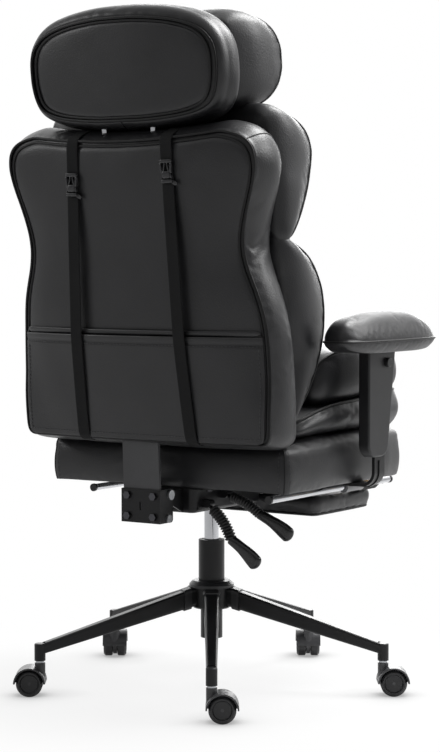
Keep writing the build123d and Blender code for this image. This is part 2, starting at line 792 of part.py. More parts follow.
head_cushion_levels = [(1094, 178, 132, 6), (1105, 191, 158, 10), (1122, 200, 182, 14), (1147, 205, 203, 17),
                       (1175, 206, 213, 18), (1198, 206, 212, 18), (1222, 201, 200, 16), (1245, 187, 172, 11),
                       (1257, 168, 138, 7), (1262, 150, 108, 4)]
with BuildPart() as head_cushion:
    sections = []
    for z, half, depth, crown in head_cushion_levels:
        rear = rear_line(z)
        sections.append(padded_section(Plane.XY.offset(z), half, rear - depth, rear - head_depth - soft_gap,
                                       low_bow=crown, side_bow=5))
    loft(sections=sections)
save(head_cushion, "head_cushion")

# Seat: plywood board, boxed base cushion, middle cushion and top pillow
board_half_width = 240
board_rear = 132
board_front = -280
with BuildPart() as seat_board:
    with BuildSketch(Plane.XY.offset(board_bottom)):
        with Locations((0, (board_front + board_rear) / 2)):
            RectangleRounded(2 * board_half_width, board_rear - board_front, 40)
    extrude(amount=board_thickness)
save(seat_board, "seat_board")

# Place along the chair, half width, bottom and top of each cushion level, rear to front
base_levels = [(156, 256, 404, 474), (146, 263, 398, 481), (60, 265, 398, 491), (-20, 265, 398, 494),
               (-131, 265, 398, 495), (-217, 264, 398, 494), (-280, 254, 400, 490), (-318, 226, 412, 480),
               (-334, 190, 430, 462)]
middle_levels = [(100, 236, 490, 505), (88, 246, 491.5, 520), (60, 252, 493, 531), (22, 256, 495.5, 541),
                 (-52, 257, 497, 550), (-116, 257, 497, 553), (-217, 255, 496, 560), (-285, 244, 492, 565),
                 (-322, 216, 494, 560), (-336, 180, 508, 545)]
top_levels = [(4, 228, 544.7, 600), (-22, 242, 548.2, 634), (-52, 248, 551.2, 645), (-116, 250, 554.7, 648),
              (-217, 250, 561.7, 648), (-285, 240, 566.7, 646), (-320, 214, 565.7, 636), (-334, 182, 570.7, 618)]


def seat_layer(levels, crown, side):
    """One layer of the seat, lofted from rear to front."""
    with BuildPart() as layer:
        loft(sections=[padded_section(upright_plane(y), half, low, high, high_bow=crown, side_bow=side)
                       for y, half, low, high in levels])
    return layer


with BuildPart() as seat_base_cushion:
    add(seat_layer(base_levels, 0, 4).part)
    with BuildSketch(Plane.XY.offset(board_bottom - board_thickness)):
        with Locations((0, (board_front + board_rear) / 2)):
            RectangleRounded(2 * (board_half_width + slide_gap), board_rear - board_front + 2 * slide_gap,
                             40 + slide_gap)
    extrude(amount=2 * board_thickness + slide_gap, mode=Mode.SUBTRACT)
    split(bisect_by=Plane.XY.offset(board_bottom), keep=Keep.TOP)
save(seat_base_cushion, "seat_base_cushion")
seat_middle_cushion = seat_layer(middle_levels, 0, 7)
save(seat_middle_cushion, "seat_middle_cushion")
seat_top_cushion = seat_layer(top_levels, 10, 8)
save(seat_top_cushion, "seat_top_cushion")

# Levers: rod with an eye, ribbed cover along a gentle arc, paddle handle
for name, route in lever_routes.items():
    pivot = (lever_pivot_x, route["pivot_z"])
    end = route["end"]
    reach = math.hypot(end[0] - pivot[0], end[1] - pivot[1])
    along = ((end[0] - pivot[0]) / reach, (end[1] - pivot[1]) / reach)
    neck = (pivot[0] + along[0] * (lever_eye_radius + 5), pivot[1] + along[1] * (lever_eye_radius + 5))
    bow = ((neck[0] + end[0]) / 2 - along[1] * route["bend"], (neck[1] + end[1]) / 2 + along[0] * route["bend"])
    lever_plane = Plane.XZ.offset(-route["y"])
    with BuildLine(lever_plane) as cover_line:
        cover_arc = ThreePointArc(neck, bow, end)

    with BuildPart() as lever_rod:
        with BuildSketch(lever_plane):
            with Locations(pivot):
                Circle(lever_eye_radius)
        extrude(amount=lever_eye_width / 2, both=True)
        with BuildSketch(Plane(origin=cover_arc @ 0, x_dir=(0, 1, 0), z_dir=cover_arc % 0)):
            Circle(lever_rod_radius)
        sweep(path=cover_arc)
        with BuildSketch(Plane(origin=cover_arc @ 0, x_dir=(0, 1, 0), z_dir=cover_arc % 0)):
            Circle(lever_rod_radius)
        extrude(amount=-lever_eye_radius - 1)
        with BuildSketch(lever_plane):
            with Locations(pivot):
                Circle(lever_pin_radius + fit)
        extrude(amount=lever_eye_width, both=True, mode=Mode.SUBTRACT)
    save(lever_rod, f"{name}_lever_rod")

    ribs = []
    for rib in range(bellows_ribs):
        for step, radius in ((0.1, bellows_valley), (0.35, bellows_crest), (0.65, bellows_crest),
                             (0.9, bellows_valley)):
            place = (rib + step) / bellows_ribs
            with BuildSketch(Plane(origin=cover_arc @ place, x_dir=(0, 1, 0), z_dir=cover_arc % place)) as ring:
                Circle(radius)
            ribs.append(ring.sketch)
    with BuildPart() as lever_cover:
        loft(sections=ribs, ruled=True)
        with BuildSketch(Plane(origin=cover_arc @ 0, x_dir=(0, 1, 0), z_dir=cover_arc % 0)):
            Circle(bellows_bore)
        sweep(path=cover_arc, mode=Mode.SUBTRACT)
    save(lever_cover, f"{name}_lever_cover")

    with BuildPart() as lever_handle:
        grip_start = cover_arc @ 1 + (cover_arc % 1) * handle_neck
        with BuildSketch(Plane(origin=grip_start, x_dir=(route["handle"][0], 0, route["handle"][1]), z_dir=(0, 1, 0))):
            with Locations((handle_length / 2, 0)):
                SlotOverall(handle_length, handle_width)
        extrude(amount=handle_thickness / 2, both=True)
        fillet(lever_handle.edges(), 3)
        with BuildSketch(Plane(origin=cover_arc @ 1, x_dir=(0, 1, 0), z_dir=cover_arc % 1)):
            Circle(bellows_valley)
        extrude(amount=handle_neck + handle_width / 2)
    save(lever_handle, f"{name}_lever_handle")

# Arm brackets: flat bars bolted under the seat board, turned up outside the seat, with a pressed bead
arm_bar_z = board_bottom - arm_bar_thickness


def arm_bar_outline(stand):
    """Side view of one arm bar in X and Z, its outer face moved out by stand."""
    outer_x = arm_bar_x + arm_bar_thickness / 2 + stand
    inner_x = arm_bar_x - arm_bar_thickness / 2
    with BuildSketch(Plane.XZ.offset(-arm_bar_y)) as outline:
        with BuildLine():
            FilletPolyline((arm_bar_inner_end, arm_bar_z - stand), (outer_x, arm_bar_z - stand),
                           (outer_x, arm_bar_top), radius=arm_bend_radius + arm_bar_thickness + stand)
            Line((outer_x, arm_bar_top), (inner_x, arm_bar_top))
            FilletPolyline((inner_x, arm_bar_top), (inner_x, board_bottom), (arm_bar_inner_end, board_bottom),
                           radius=arm_bend_radius)
            Line((arm_bar_inner_end, board_bottom), (arm_bar_inner_end, arm_bar_z - stand))
        make_face()
    return outline.sketch


with BuildPart() as arm_bar:
    extrude(arm_bar_outline(0), amount=arm_bar_width / 2, both=True)
    with BuildSketch(Plane.XY.offset(arm_bar_z)):
        with Locations((arm_bar_inner_end + 20, arm_bar_y), (arm_bar_inner_end + 70, arm_bar_y)):
            Circle(seat_bolt_radius + fit)
    extrude(amount=arm_bar_thickness, mode=Mode.SUBTRACT)
with BuildPart() as arm_bead:
    extrude(arm_bar_outline(arm_bead_height), amount=arm_bead_width / 2, both=True)
    with Locations((arm_bar_x, arm_bar_y, arm_bar_z)):
        Box(120, arm_bar_width, 100, mode=Mode.INTERSECT)
with BuildPart() as arm_brackets:
    add(arm_bar.part)
    add(arm_bead.part)
    mirror(about=Plane.YZ)
save(arm_brackets, "arm_brackets")

# Bolts that hold the mechanism and the arm bars to the seat board
with BuildPart() as one_bolt:
    Cylinder(seat_bolt_head_radius, seat_bolt_head, align=(Align.CENTER, Align.CENTER, Align.MAX))
    Cylinder(seat_bolt_radius, arm_bar_thickness, align=(Align.CENTER, Align.CENTER, Align.MIN))
with BuildPart() as tray_bolt:
    Cylinder(seat_bolt_head_radius, seat_bolt_head, align=(Align.CENTER, Align.CENTER, Align.MAX))
    Cylinder(seat_bolt_radius, tray_wall, align=(Align.CENTER, Align.CENTER, Align.MIN))
with BuildPart() as seat_bolts:
    with Locations((0, (tray_front + tray_rear) / 2, tray_top)):
        with GridLocations(2 * tray_half_width + flange_reach, tray_rear - tray_front - 50, 2, 2):
            add(tray_bolt.part)
    for side in (1, -1):
        with Locations((side * (arm_bar_inner_end + 20), arm_bar_y, arm_bar_z),
                       (side * (arm_bar_inner_end + 70), arm_bar_y, arm_bar_z)):
            add(one_bolt.part)
save(seat_bolts, "seat_bolts")

# Arm posts sliding on the bars, pads and release buttons
for side, hand in ((1, "left"), (-1, "right")):
    post_x = side * arm_bar_x
    with BuildPart() as arm_post:
        with BuildSketch(side_plane(post_x)):
            with BuildLine():
                Polyline((arm_post_rear, arm_post_top), (arm_post_rear, arm_post_bottom + 26),
                         (arm_post_front_low, arm_post_bottom + 26), (arm_post_front_top, arm_post_top), close=True)
            make_face()
            with Locations(((arm_post_rear + arm_post_front_low) / 2, arm_post_bottom + 26)):
                SlotOverall(arm_post_rear - arm_post_front_low, 52)
        extrude(amount=arm_post_half_thickness, both=True)
        fillet(arm_post.edges().filter_by(Axis.X, reverse=True).filter_by(GeomType.LINE), 4)
        with BuildSketch(Plane.XY.offset(arm_post_bottom - 1)):
            with Locations((post_x, arm_bar_y)):
                Rectangle(arm_bar_thickness + 2 * slide_gap, arm_bar_width + 2 * slide_gap)
        extrude(amount=arm_bar_top - arm_post_bottom + 2, mode=Mode.SUBTRACT)
        button_face = Plane(origin=(post_x + side * arm_post_half_thickness, arm_button_y, arm_button_z),
                            x_dir=(0, 1, 0), z_dir=(side, 0, 0))
        with BuildSketch(button_face):
            Circle(arm_button_radius + slide_gap)
        extrude(amount=-arm_button_hole, mode=Mode.SUBTRACT)
    save(arm_post, f"arm_post_{hand}")

    with BuildPart() as arm_button:
        with BuildSketch(button_face.offset(slide_gap + 4 - arm_button_hole)):
            Circle(arm_button_radius)
        extrude(amount=arm_button_hole - 4 + arm_button_stand)
        fillet(arm_button.edges().group_by(Axis.X)[-1 if side > 0 else 0], 2)
    save(arm_button, f"arm_button_{hand}")

    pad_levels = [(arm_pad_rear, 24, 14, 40), (arm_pad_rear - 14, 36, 4, 58), (arm_pad_rear - 50, 42, 0, 66),
                  ((arm_pad_front + arm_pad_rear) / 2, 42, 0, 68), (arm_pad_front + 60, 42, 0, 66),
                  (arm_pad_front + 18, 37, 6, 58), (arm_pad_front, 22, 18, 42)]
    with BuildPart() as arm_pad:
        loft(sections=[padded_section(upright_plane(y), half, arm_pad_bottom + low, arm_pad_bottom + high,
                                      high_bow=7, side_bow=4, shift=side * arm_pad_x)
                       for y, half, low, high in pad_levels])
        split(bisect_by=Plane.XY.offset(arm_pad_bottom), keep=Keep.TOP)
    save(arm_pad, f"arm_pad_{hand}")

# Footrest rails with end caps, sliding in sleeves under the seat board
with BuildPart() as footrest_sleeves:
    for side in (1, -1):
        with BuildSketch(upright_plane(sleeve_rear)):
            with Locations((side * rail_x, rail_z)):
                Circle(sleeve_radius)
                Rectangle(sleeve_web, board_bottom - rail_z, align=(Align.CENTER, Align.MIN))
                Circle(rail_radius + fit, mode=Mode.SUBTRACT)
        extrude(amount=sleeve_rear - sleeve_front)
save(footrest_sleeves, "footrest_sleeves")

with BuildPart() as footrest_rails:
    for side in (1, -1):
        with BuildSketch(upright_plane(rail_rear)):
            with Locations((side * rail_x, rail_z)):
                Circle(rail_radius)
                Circle(rail_radius - rail_wall, mode=Mode.SUBTRACT)
        extrude(amount=rail_rear - rail_front)
        with BuildSketch(side_plane(side * (rail_x - rail_cap_radius - slide_gap - hinge_plate - 2))):
            with Locations((hinge_y, rail_z)):
                Circle(hinge_pin_radius)
        extrude(amount=side * (rail_cap_radius + slide_gap + hinge_plate + 2))
save(footrest_rails, "footrest_rails")

with BuildPart() as rail_caps:
    for side in (1, -1):
        with BuildSketch(upright_plane(rail_rear + rail_cap_length), upright_plane(rail_front)):
            with Locations((side * rail_x, rail_z)):
                Circle(rail_cap_radius)
        extrude(amount=rail_cap_length)
save(rail_caps, "rail_caps")

# Footrest pad and the hinge plates that carry it on the rail pins
hinge_outer_x = rail_x - rail_cap_radius - slide_gap
with BuildPart() as footrest_hinges:
    for side in (1, -1):
        with BuildSketch(side_plane(side * (hinge_outer_x - hinge_plate / 2))):
            with BuildLine():
                Polyline((hinge_y, rail_z + hinge_eye_radius), (hinge_y - hinge_eye_radius, rail_z),
                         (hinge_flange_front, footrest_top), (hinge_flange_rear, footrest_top),
                         (hinge_flange_rear, footrest_top + hinge_plate), close=True)
            make_face()
            with Locations((hinge_y, rail_z)):
                Circle(hinge_eye_radius)
                Circle(hinge_pin_radius + fit, mode=Mode.SUBTRACT)
        extrude(amount=hinge_plate / 2, both=True)
        with Locations((side * (hinge_outer_x - hinge_flange_reach / 2), (hinge_flange_front + hinge_flange_rear) / 2,
                        footrest_top)):
            Box(hinge_flange_reach, hinge_flange_rear - hinge_flange_front, hinge_plate,
                align=(Align.CENTER, Align.CENTER, Align.MIN))
save(footrest_hinges, "footrest_hinges")

# Place along the chair, half width and rise of the rounded lower face, with a flat back under the plates
footrest_levels = [(footrest_rear, 168, 10), (footrest_rear - 10, 176, 3), (footrest_rear - 60, 178, 0),
                   (footrest_front + 60, 178, 0), (footrest_front + 10, 176, 3), (footrest_front, 168, 10)]
with BuildPart() as footrest_pad:
    loft(sections=[padded_section(upright_plane(y), half, footrest_bottom + rise, footrest_top - slide_gap, low_bow=4,
                                  side_bow=2) for y, half, rise in footrest_levels])
save(footrest_pad, "footrest_pad")
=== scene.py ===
"""Looks of an office chair with a footrest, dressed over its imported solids.

Sizes are in millimetres in the classes and become metres when a mesh is made. The origin is on the
floor under the gas column, Z is up, and the sitter faces -Y.
"""

import logging
import math
from dataclasses import dataclass, field
from enum import Enum
from typing import Callable, Optional, Sequence

import bpy
import numpy as np
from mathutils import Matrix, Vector


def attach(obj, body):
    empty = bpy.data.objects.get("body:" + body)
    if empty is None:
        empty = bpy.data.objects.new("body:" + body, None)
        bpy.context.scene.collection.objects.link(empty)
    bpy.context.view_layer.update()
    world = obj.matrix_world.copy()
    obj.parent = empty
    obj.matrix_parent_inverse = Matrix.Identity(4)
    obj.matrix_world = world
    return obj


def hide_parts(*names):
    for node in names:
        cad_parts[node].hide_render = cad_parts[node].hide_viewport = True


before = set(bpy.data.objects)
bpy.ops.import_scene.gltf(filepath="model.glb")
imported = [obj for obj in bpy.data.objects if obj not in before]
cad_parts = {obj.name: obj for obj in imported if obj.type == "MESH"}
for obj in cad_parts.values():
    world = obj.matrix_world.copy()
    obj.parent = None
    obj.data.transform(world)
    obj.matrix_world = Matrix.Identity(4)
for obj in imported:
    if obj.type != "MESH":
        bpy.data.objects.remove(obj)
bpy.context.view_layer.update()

MM = 0.001
SIDES = ((1, "left"), (-1, "right"))
# The rear edge of the back starts at this height and leans by so much Y to one of Z
BACK_FOOT, LEAN = 488, 0.1114
FOOTREST_PLATES = 364.7
CORD_SIDES = 8
Array = np.ndarray
Mesh = tuple[Array, Array]
Depth = Callable[[Array, Array], Array]
Levels = Sequence[Sequence[float]]
Socket = bpy.types.NodeSocket
log = logging.getLogger("office_chair")


class Pattern(Enum):
    """Relief that a finish carries."""

    GRAIN = "pebbled grain"
    WEAVE = "woven ribs"
    PEEL = "orange peel"
    SPARK = "moulded texture"
    PLAIN = "polished"
    PLY = "wood plies"


def linear(code: str) -> tuple[float, float, float, float]:
    """Linear colour of an sRGB hex code.

    Args:
        code: six hex digits.

    Returns:
        Red, green, blue and alpha.
    """
    parts = np.array([int(code[k:k + 2], 16) for k in (0, 2, 4)]) / 255
    flat = np.where(parts <= 0.04045, parts / 12.92, ((parts + 0.055) / 1.055) ** 2.4)
    return (float(flat[0]), float(flat[1]), float(flat[2]), 1.0)


class Tree:
    """The node tree of a material or world, emptied and then filled node by node."""

    def __init__(self, owner: bpy.types.ID) -> None:
        """Opens and empties the tree of a material or world."""
        owner.use_nodes = True
        self.tree = owner.node_tree
        self.tree.nodes.clear()

    def add(self, kind: str, values: Optional[dict] = None, links: Optional[dict] = None,
            **settings: object) -> bpy.types.Node:
        """Adds one shader node with its settings, values and links.

        Args:
            kind: last part of the node's type.
            values: input name or place to constant.
            links: input name or place to the socket that feeds it.
            settings: properties of the node.

        Returns:
            The new node.
        """
        node = self.tree.nodes.new("ShaderNode" + kind)
        for name, value in settings.items():
            setattr(node, name, value)
        for name, value in (values or {}).items():
            node.inputs[name].default_value = value
        for name, socket in (links or {}).items():
            self.tree.links.new(socket, node.inputs[name])
        return node

    def calc(self, operation: str, *terms: object) -> Socket:
        """Outcome of a math node.

        Args:
            operation: what the node does.
            terms: its sockets and constants in order.

        Returns:
            The node's output.
        """
        values = {place: term for place, term in enumerate(terms) if isinstance(term, float)}
        links = {place: term for place, term in enumerate(terms) if place not in values}
        return self.add("Math", values, links, operation=operation).outputs[0]

    def ramp(self, value: Socket, *ends: float, **settings: object) -> Socket:
        """A value carried from a low and high end to another low and high end."""
        return self.add("MapRange", dict(enumerate(ends, 1)), {"Value": value}, **settings).outputs["Result"]

    def noise(self, place: Socket, scale: float, detail: float, **values: float) -> Socket:
        """A noise of so many waves to the metre."""
        return self.add("TexNoise", {"Scale": scale, "Detail": detail, **values}, {"Vector": place}).outputs["Fac"]

    def blend(self, share: Socket, first: str, second: str) -> Socket:
        """Two hex colours mixed by a share."""
        return self.add("Mix", {6: linear(first), 7: linear(second)}, {0: share}, data_type="RGBA").outputs[2]


@dataclass(frozen=True)
class Finish:
    """One real finish: its colours, gloss and relief."""

    name: str
    slot: str
    colour: str
    worn: str
    roughness: float
    spread: float
    metallic: float
    pattern: Pattern
    pitch: float
    relief: float
    specular: float = 0.5

    def material(self) -> bpy.types.Material:
        """The material of this finish, made once."""
        made = bpy.data.materials.get(self.name)
        return made if made else self.build()

    def build(self) -> bpy.types.Material:
        """Builds the node tree: mottled colour and gloss, and the relief of the pattern.

        Returns:
            The new material.
        """
        made = bpy.data.materials.new(self.name)
        tree = Tree(made)
        place = tree.add("TexCoord").outputs["Object"]
        # A slow mottling, about 70 mm across, keeps large faces from looking like one flat colour
        mottle = tree.ramp(tree.noise(place, 1 / (70 * MM), 3.0, Roughness=0.55), 0.3, 0.7, 0.0, 1.0)
        feeds = {"Base Color": tree.blend(mottle, self.colour, self.worn),
                 "Roughness": tree.ramp(mottle, 0.0, 1.0, self.roughness - self.spread, self.roughness + self.spread)}
        height = self.height(tree, place)
        if height is not None:
            feeds["Normal"] = tree.add("Bump", {"Strength": 1.0, "Distance": self.relief * MM},
                                       {"Height": height}).outputs["Normal"]
        shader = tree.add("BsdfPrincipled", {"Metallic": self.metallic, "Specular IOR Level": self.specular}, feeds)
        tree.add("OutputMaterial", links={"Surface": shader.outputs["BSDF"]})
        return made

    def height(self, tree: Tree, place: Socket) -> Optional[Socket]:
        """Height field of the relief.

        Args:
            tree: node tree of the material.
            place: coordinates in metres.

        Returns:
            A socket from 0 to 1, or None for a polished face.
        """
        per_metre = 1 / (self.pitch * MM)
        # A wave texture runs through 20 radians for each unit of its scale
        threads = per_metre / 20
        if self.pattern is Pattern.GRAIN:
            # Rounded cells with creases between them, over a slower crease noise
            cells = tree.add("TexVoronoi", {"Scale": per_metre, "Randomness": 1.0}, {"Vector": place},
                             feature="SMOOTH_F1")
            return tree.calc("MULTIPLY_ADD", tree.noise(place, per_metre / 9, 4.0), 0.55, cells.outputs["Distance"])
        if self.pattern is Pattern.WEAVE:
            # Two crossed waves on the strip's own map, one per thread
            sewn = tree.add("UVMap", uv_map="strip").outputs["UV"]
            warp, weft = (tree.add("TexWave", {"Scale": threads}, {"Vector": sewn}, bands_direction=way).outputs["Fac"]
                          for way in "XY")
            return tree.calc("MULTIPLY", warp, weft)
        if self.pattern is Pattern.PLY:
            return tree.add("TexWave", {"Scale": threads, "Distortion": 2.0}, {"Vector": place},
                            bands_direction="Z").outputs["Fac"]
        return None if self.pattern is Pattern.PLAIN else tree.noise(place, per_metre, 2.0)


# Pressed vinyl over foam: soft broad sheen with a pebbled grain that breaks up the highlights
LEATHERETTE = Finish("pressed_leatherette", "black_leatherette", "1b1b1d", "202022", 0.42, 0.04, 0.0,
                     Pattern.GRAIN, 2.4, 0.22)
# The same vinyl over welt cord, seam joints and pocket folds, drawn darker as painted shade, so that it reads as a
# dark line round each face
PAINTED_SHADE_VINYL = Finish("welt_leatherette_painted_shade", "black_leatherette", "0c0c0d", "111112", 0.46, 0.04, 0.0,
              Pattern.GRAIN, 2.4, 0.1, 0.3)
# Bonded thread, slightly paler than the vinyl, so that a stitch line can be read
THREAD = Finish("bonded_thread", "black_leatherette", "39393b", "424244", 0.6, 0.04, 0.0, Pattern.PEEL, 0.6, 0.05)
# Woven polypropylene: dull black ribs across the strap
WEBBING = Finish("woven_webbing", "black_webbing", "0d0d0e", "141415", 0.78, 0.05, 0.0,
                 Pattern.WEAVE, 2.2, 0.3, 0.25)
# Powder coat on steel: satin black with a fine orange peel
STEEL = Finish("powder_coated_steel", "black_steel", "111112", "171719", 0.36, 0.05, 0.0,
               Pattern.PEEL, 1.2, 0.03, 0.32)
# Semi-matt black steel of the back bar, drawn paler than the rest of the steel as a painted sheen along the bar
BAR_STEEL_PAINTED_SHEEN = Finish("bar_steel_painted_sheen", "black_steel", "3a3a3c", "434345", 0.45, 0.05, 0.0,
                   Pattern.PEEL, 1.5, 0.04)
# Chrome plate: a mirror that shows the pale floor and the dark seat
CHROME = Finish("chrome_plate", "chrome", "b4b5b8", "bfc0c3", 0.13, 0.02, 1.0, Pattern.PLAIN, 1.0, 0.0)
# Zinc plate: grey metal with a dull cast
ZINC = Finish("zinc_plated_steel", "zinc_steel", "a9abae", "b8babd", 0.33, 0.06, 1.0, Pattern.PEEL, 1.0, 0.02)
# Black oxide on bolts: dark metal whose edges still glint
OXIDE = Finish("black_oxide_steel", "zinc_steel", "4a4a4d", "58585c", 0.28, 0.06, 1.0, Pattern.PEEL, 1.0, 0.02)
# Moulded acetal of the buckles: a harder shine on every rib, and a base colour paler than the other black plastic, a
# painted sheen on the buckles
ACETAL_PAINTED_SHEEN = Finish("moulded_acetal_painted_sheen", "black_plastic", "2e2e30", "363638", 0.24, 0.05, 0.0, Pattern.SPARK, 0.9, 0.02)
# Moulded nylon: even black with a faint spark texture
NYLON = Finish("moulded_nylon", "black_plastic", "19191b", "1f1f21", 0.42, 0.05, 0.0, Pattern.SPARK, 0.9, 0.03)
# Glossy moulded ABS of the lever paddles: near black, with small sharp highlights
GLOSS = Finish("glossy_moulded_abs", "black_plastic", "151516", "1a1a1b", 0.24, 0.04, 0.0, Pattern.SPARK, 1.5, 0.01)
# Moulded hood plastic, softer than the wheels; its grey is lightened as a painted highlight, for the light that its
# crown catches from above
HOOD_PAINTED_HIGHLIGHT = Finish("moulded_hood_painted_highlight", "grey_plastic", "3c3c3e", "444446", 0.38, 0.05, 0.0, Pattern.SPARK, 0.9, 0.03)
# Grey nylon sleeve
SLEEVE = Finish("grey_nylon_sleeve", "grey_plastic", "6b6b6d", "767678", 0.45, 0.05, 0.0, Pattern.SPARK, 0.9, 0.03)
# Moulded rubber cover: dull, with soft edges to the ribs
RUBBER = Finish("moulded_rubber", "black_rubber", "161617", "1c1c1d", 0.5, 0.05, 0.0, Pattern.SPARK, 1.0, 0.04)
# Raw birch ply of the boards under the covers
PLY = Finish("birch_plywood", "plywood", "a98a5f", "b8996d", 0.6, 0.05, 0.0, Pattern.PLY, 1.6, 0.05)

NODE_FINISHES: dict[Finish, tuple[str, ...]] = {
    STEEL: ("base_hub", "base_legs", "leg_sockets", "gas_outer_tube", "mechanism_tray", "recline_bracket",
            "arm_brackets", "footrest_hinges", "recline_lever_rod", "height_lever_rod"),
    # The back bar takes the paler steel: a painted sheen
    BAR_STEEL_PAINTED_SHEEN: ("j_bar",),
    CHROME: ("gas_cylinder", "gas_rod", "footrest_rails", "headrest_posts"),
    ZINC: ("caster_stems", "recline_pin", "lock_pin"),
    OXIDE: ("bracket_bolts", "seat_bolts"),
    NYLON: ("base_collars", "gas_guide_bush", "headrest_guides", "rail_caps", "arm_post_left", "arm_post_right",
            "arm_button_left", "arm_button_right") + tuple(f"caster_wheels_{k}" for k in range(1, 6)),
    # The hoods take the lightened grey: a painted highlight on their crowns
    HOOD_PAINTED_HIGHLIGHT: tuple(f"caster_hood_{k}" for k in range(1, 6)),
    SLEEVE: ("footrest_sleeves",),
    PLY: ("seat_board", "back_board"),
}


def turn_out(points: Array, faces: Array) -> Array:
    """Faces of a closed mesh, turned so that its signed volume is positive.

    Args:
        points: vertices, one row each.
        faces: rows of vertex numbers; a triangle repeats one of them.

    Returns:
        The faces, reversed where they pointed inwards.
    """
    a, b, c, d = (points[faces[:, k]] for k in range(4))
    volume = np.sum(np.cross(a, b) * c) + np.sum(np.cross(a, c) * d)
    return faces if volume > 0 else faces[:, ::-1]


def add_piece(name: str, points: Array, faces: Array, finish: Finish, body: str,
              strip: Optional[Array] = None) -> bpy.types.Object:
    """Makes one smooth mesh piece that rides on a body.

    Args:
        name: name of the piece.
        points: vertices in millimetres.
        faces: rows of four vertex numbers; a row whose first or last two are equal is a triangle.
        finish: its material.
        body: the body that carries it.
        strip: a map of two values per vertex, for woven pieces.

    Returns:
        The new object.
    """
    mesh = bpy.data.meshes.new(name)
    three = (faces[:, 2] == faces[:, 3]) | (faces[:, 0] == faces[:, 1])
    quads, rest = faces[~three], faces[three]
    tris = np.where((rest[:, 2] == rest[:, 3])[:, None], rest[:, :3], rest[:, 1:])
    mesh.vertices.add(len(points))
    mesh.vertices.foreach_set("co", (points * MM).astype(np.float32).ravel())
    loops = np.concatenate([quads.ravel(), tris.ravel()]).astype(np.int32)
    mesh.loops.add(len(loops))
    mesh.loops.foreach_set("vertex_index", loops)
    starts = np.concatenate([np.arange(len(quads)) * 4, len(quads) * 4 + np.arange(len(tris)) * 3])
    mesh.polygons.add(len(starts))
    mesh.polygons.foreach_set("loop_start", starts.astype(np.int32))
    mesh.polygons.foreach_set("use_smooth", np.full(len(starts), True))
    mesh.update(calc_edges=True)
    mesh.validate()
    if strip is not None:
        layer = mesh.uv_layers.new(name="strip")
        layer.data.foreach_set("uv", strip[loops].astype(np.float32).ravel())
    mesh.materials.append(finish.material())
    piece = bpy.data.objects.new(name, mesh)
    bpy.context.scene.collection.objects.link(piece)
    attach(piece, body)
    log.info("%s: %d points on %s", name, len(points), body)
    return piece


def grid_faces(rows: int, columns: int, wrap: bool) -> Array:
    """Quads of a grid, joined round its columns where wrap is set.

    Args:
        rows: number of rows.
        columns: points in a row.
        wrap: join the last column to the first.

    Returns:
        Rows of four vertex numbers.
    """
    across = np.arange(columns if wrap else columns - 1)
    row, col = np.meshgrid(np.arange(rows - 1), across, indexing="ij")
    here, right = row * columns + col, row * columns + (col + 1) % columns
    return np.stack([here, right, right + columns, here + columns], axis=-1).reshape(-1, 4)


def capped(rings: Array) -> Mesh:
    """Closes a stack of rings with one middle point at each end.

    Args:
        rings: rings, points and coordinates.

    Returns:
        Vertices and faces of the closed mesh.
    """
    rows, count, _ = rings.shape
    points = np.concatenate([rings.reshape(-1, 3), rings[:1].mean(axis=1), rings[-1:].mean(axis=1)])
    first, last = np.full(count, rows * count), np.full(count, rows * count + 1)
    here, nxt = np.arange(count), (np.arange(count) + 1) % count
    end = (rows - 1) * count
    faces = np.concatenate([grid_faces(rows, count, True), np.stack([first, first, nxt, here], axis=1),
                            np.stack([here + end, nxt + end, last, last], axis=1)])
    return points, turn_out(points, faces)


def unit(rows: Array) -> Array:
    """Rows scaled to length one."""
    return rows / np.maximum(np.linalg.norm(rows, axis=-1, keepdims=True), 1e-12)


def soft(wave: Array, power: Array) -> Array:
    """A wave raised to a power with its sign kept, as in a superellipse."""
    return np.sign(wave) * np.abs(wave) ** power


def bell(away: Array, width: float) -> Array:
    """A bell curve that is 1 at no distance and has fallen to a third at the width."""
    return np.exp(-(away / width) ** 2)


def run_length(path: Array) -> Array:
    """Distance along a path at each of its points."""
    return np.concatenate([[0.0], np.cumsum(np.linalg.norm(np.diff(path, axis=0), axis=1))])


def read_rows(at: Array, known: Array, rows: Array) -> Array:
    """Rows known at some places, read at others."""
    return np.stack([np.interp(at, known, column) for column in rows.T], axis=1)


def even_loop(corners: Array, count: int, rounding: float) -> Array:
    """Even closed curve along corner points, rounded by damping its Fourier terms with a Gaussian.

    Args:
        corners: corner points in order.
        count: points on the curve.
        rounding: width of the Gaussian along the curve.

    Returns:
        The curve, one row per point.
    """
    loop = np.vstack([corners, corners[:1]])
    arc = run_length(loop)
    even = read_rows(np.arange(count) * arc[-1] / count, arc, loop)
    waves = np.fft.fftfreq(count, d=arc[-1] / count) * 2 * np.pi
    damp = np.exp(-0.5 * (waves * rounding) ** 2)
    return np.real(np.fft.ifft(np.fft.fft(even, axis=0) * damp[:, None], axis=0))


def mirrored(levels: Levels) -> Array:
    """Corner points, anticlockwise, of an outline given by rows of place along it and half width.

    Args:
        levels: rows that start with the place and the half width.

    Returns:
        The right side upwards, then the left side downwards.
    """
    right = np.array([(row[1], row[0]) for row in levels], float)
    if right[0, 1] > right[-1, 1]:
        right = right[::-1]
    return np.vstack([right, (right * [-1, 1])[::-1]])


def outward(loop: Array) -> Array:
    """Unit normals of a flat anticlockwise closed curve, pointing out of it."""
    along = np.roll(loop, -1, axis=0) - np.roll(loop, 1, axis=0)
    return unit(np.stack([along[:, 1], -along[:, 0]], axis=1))


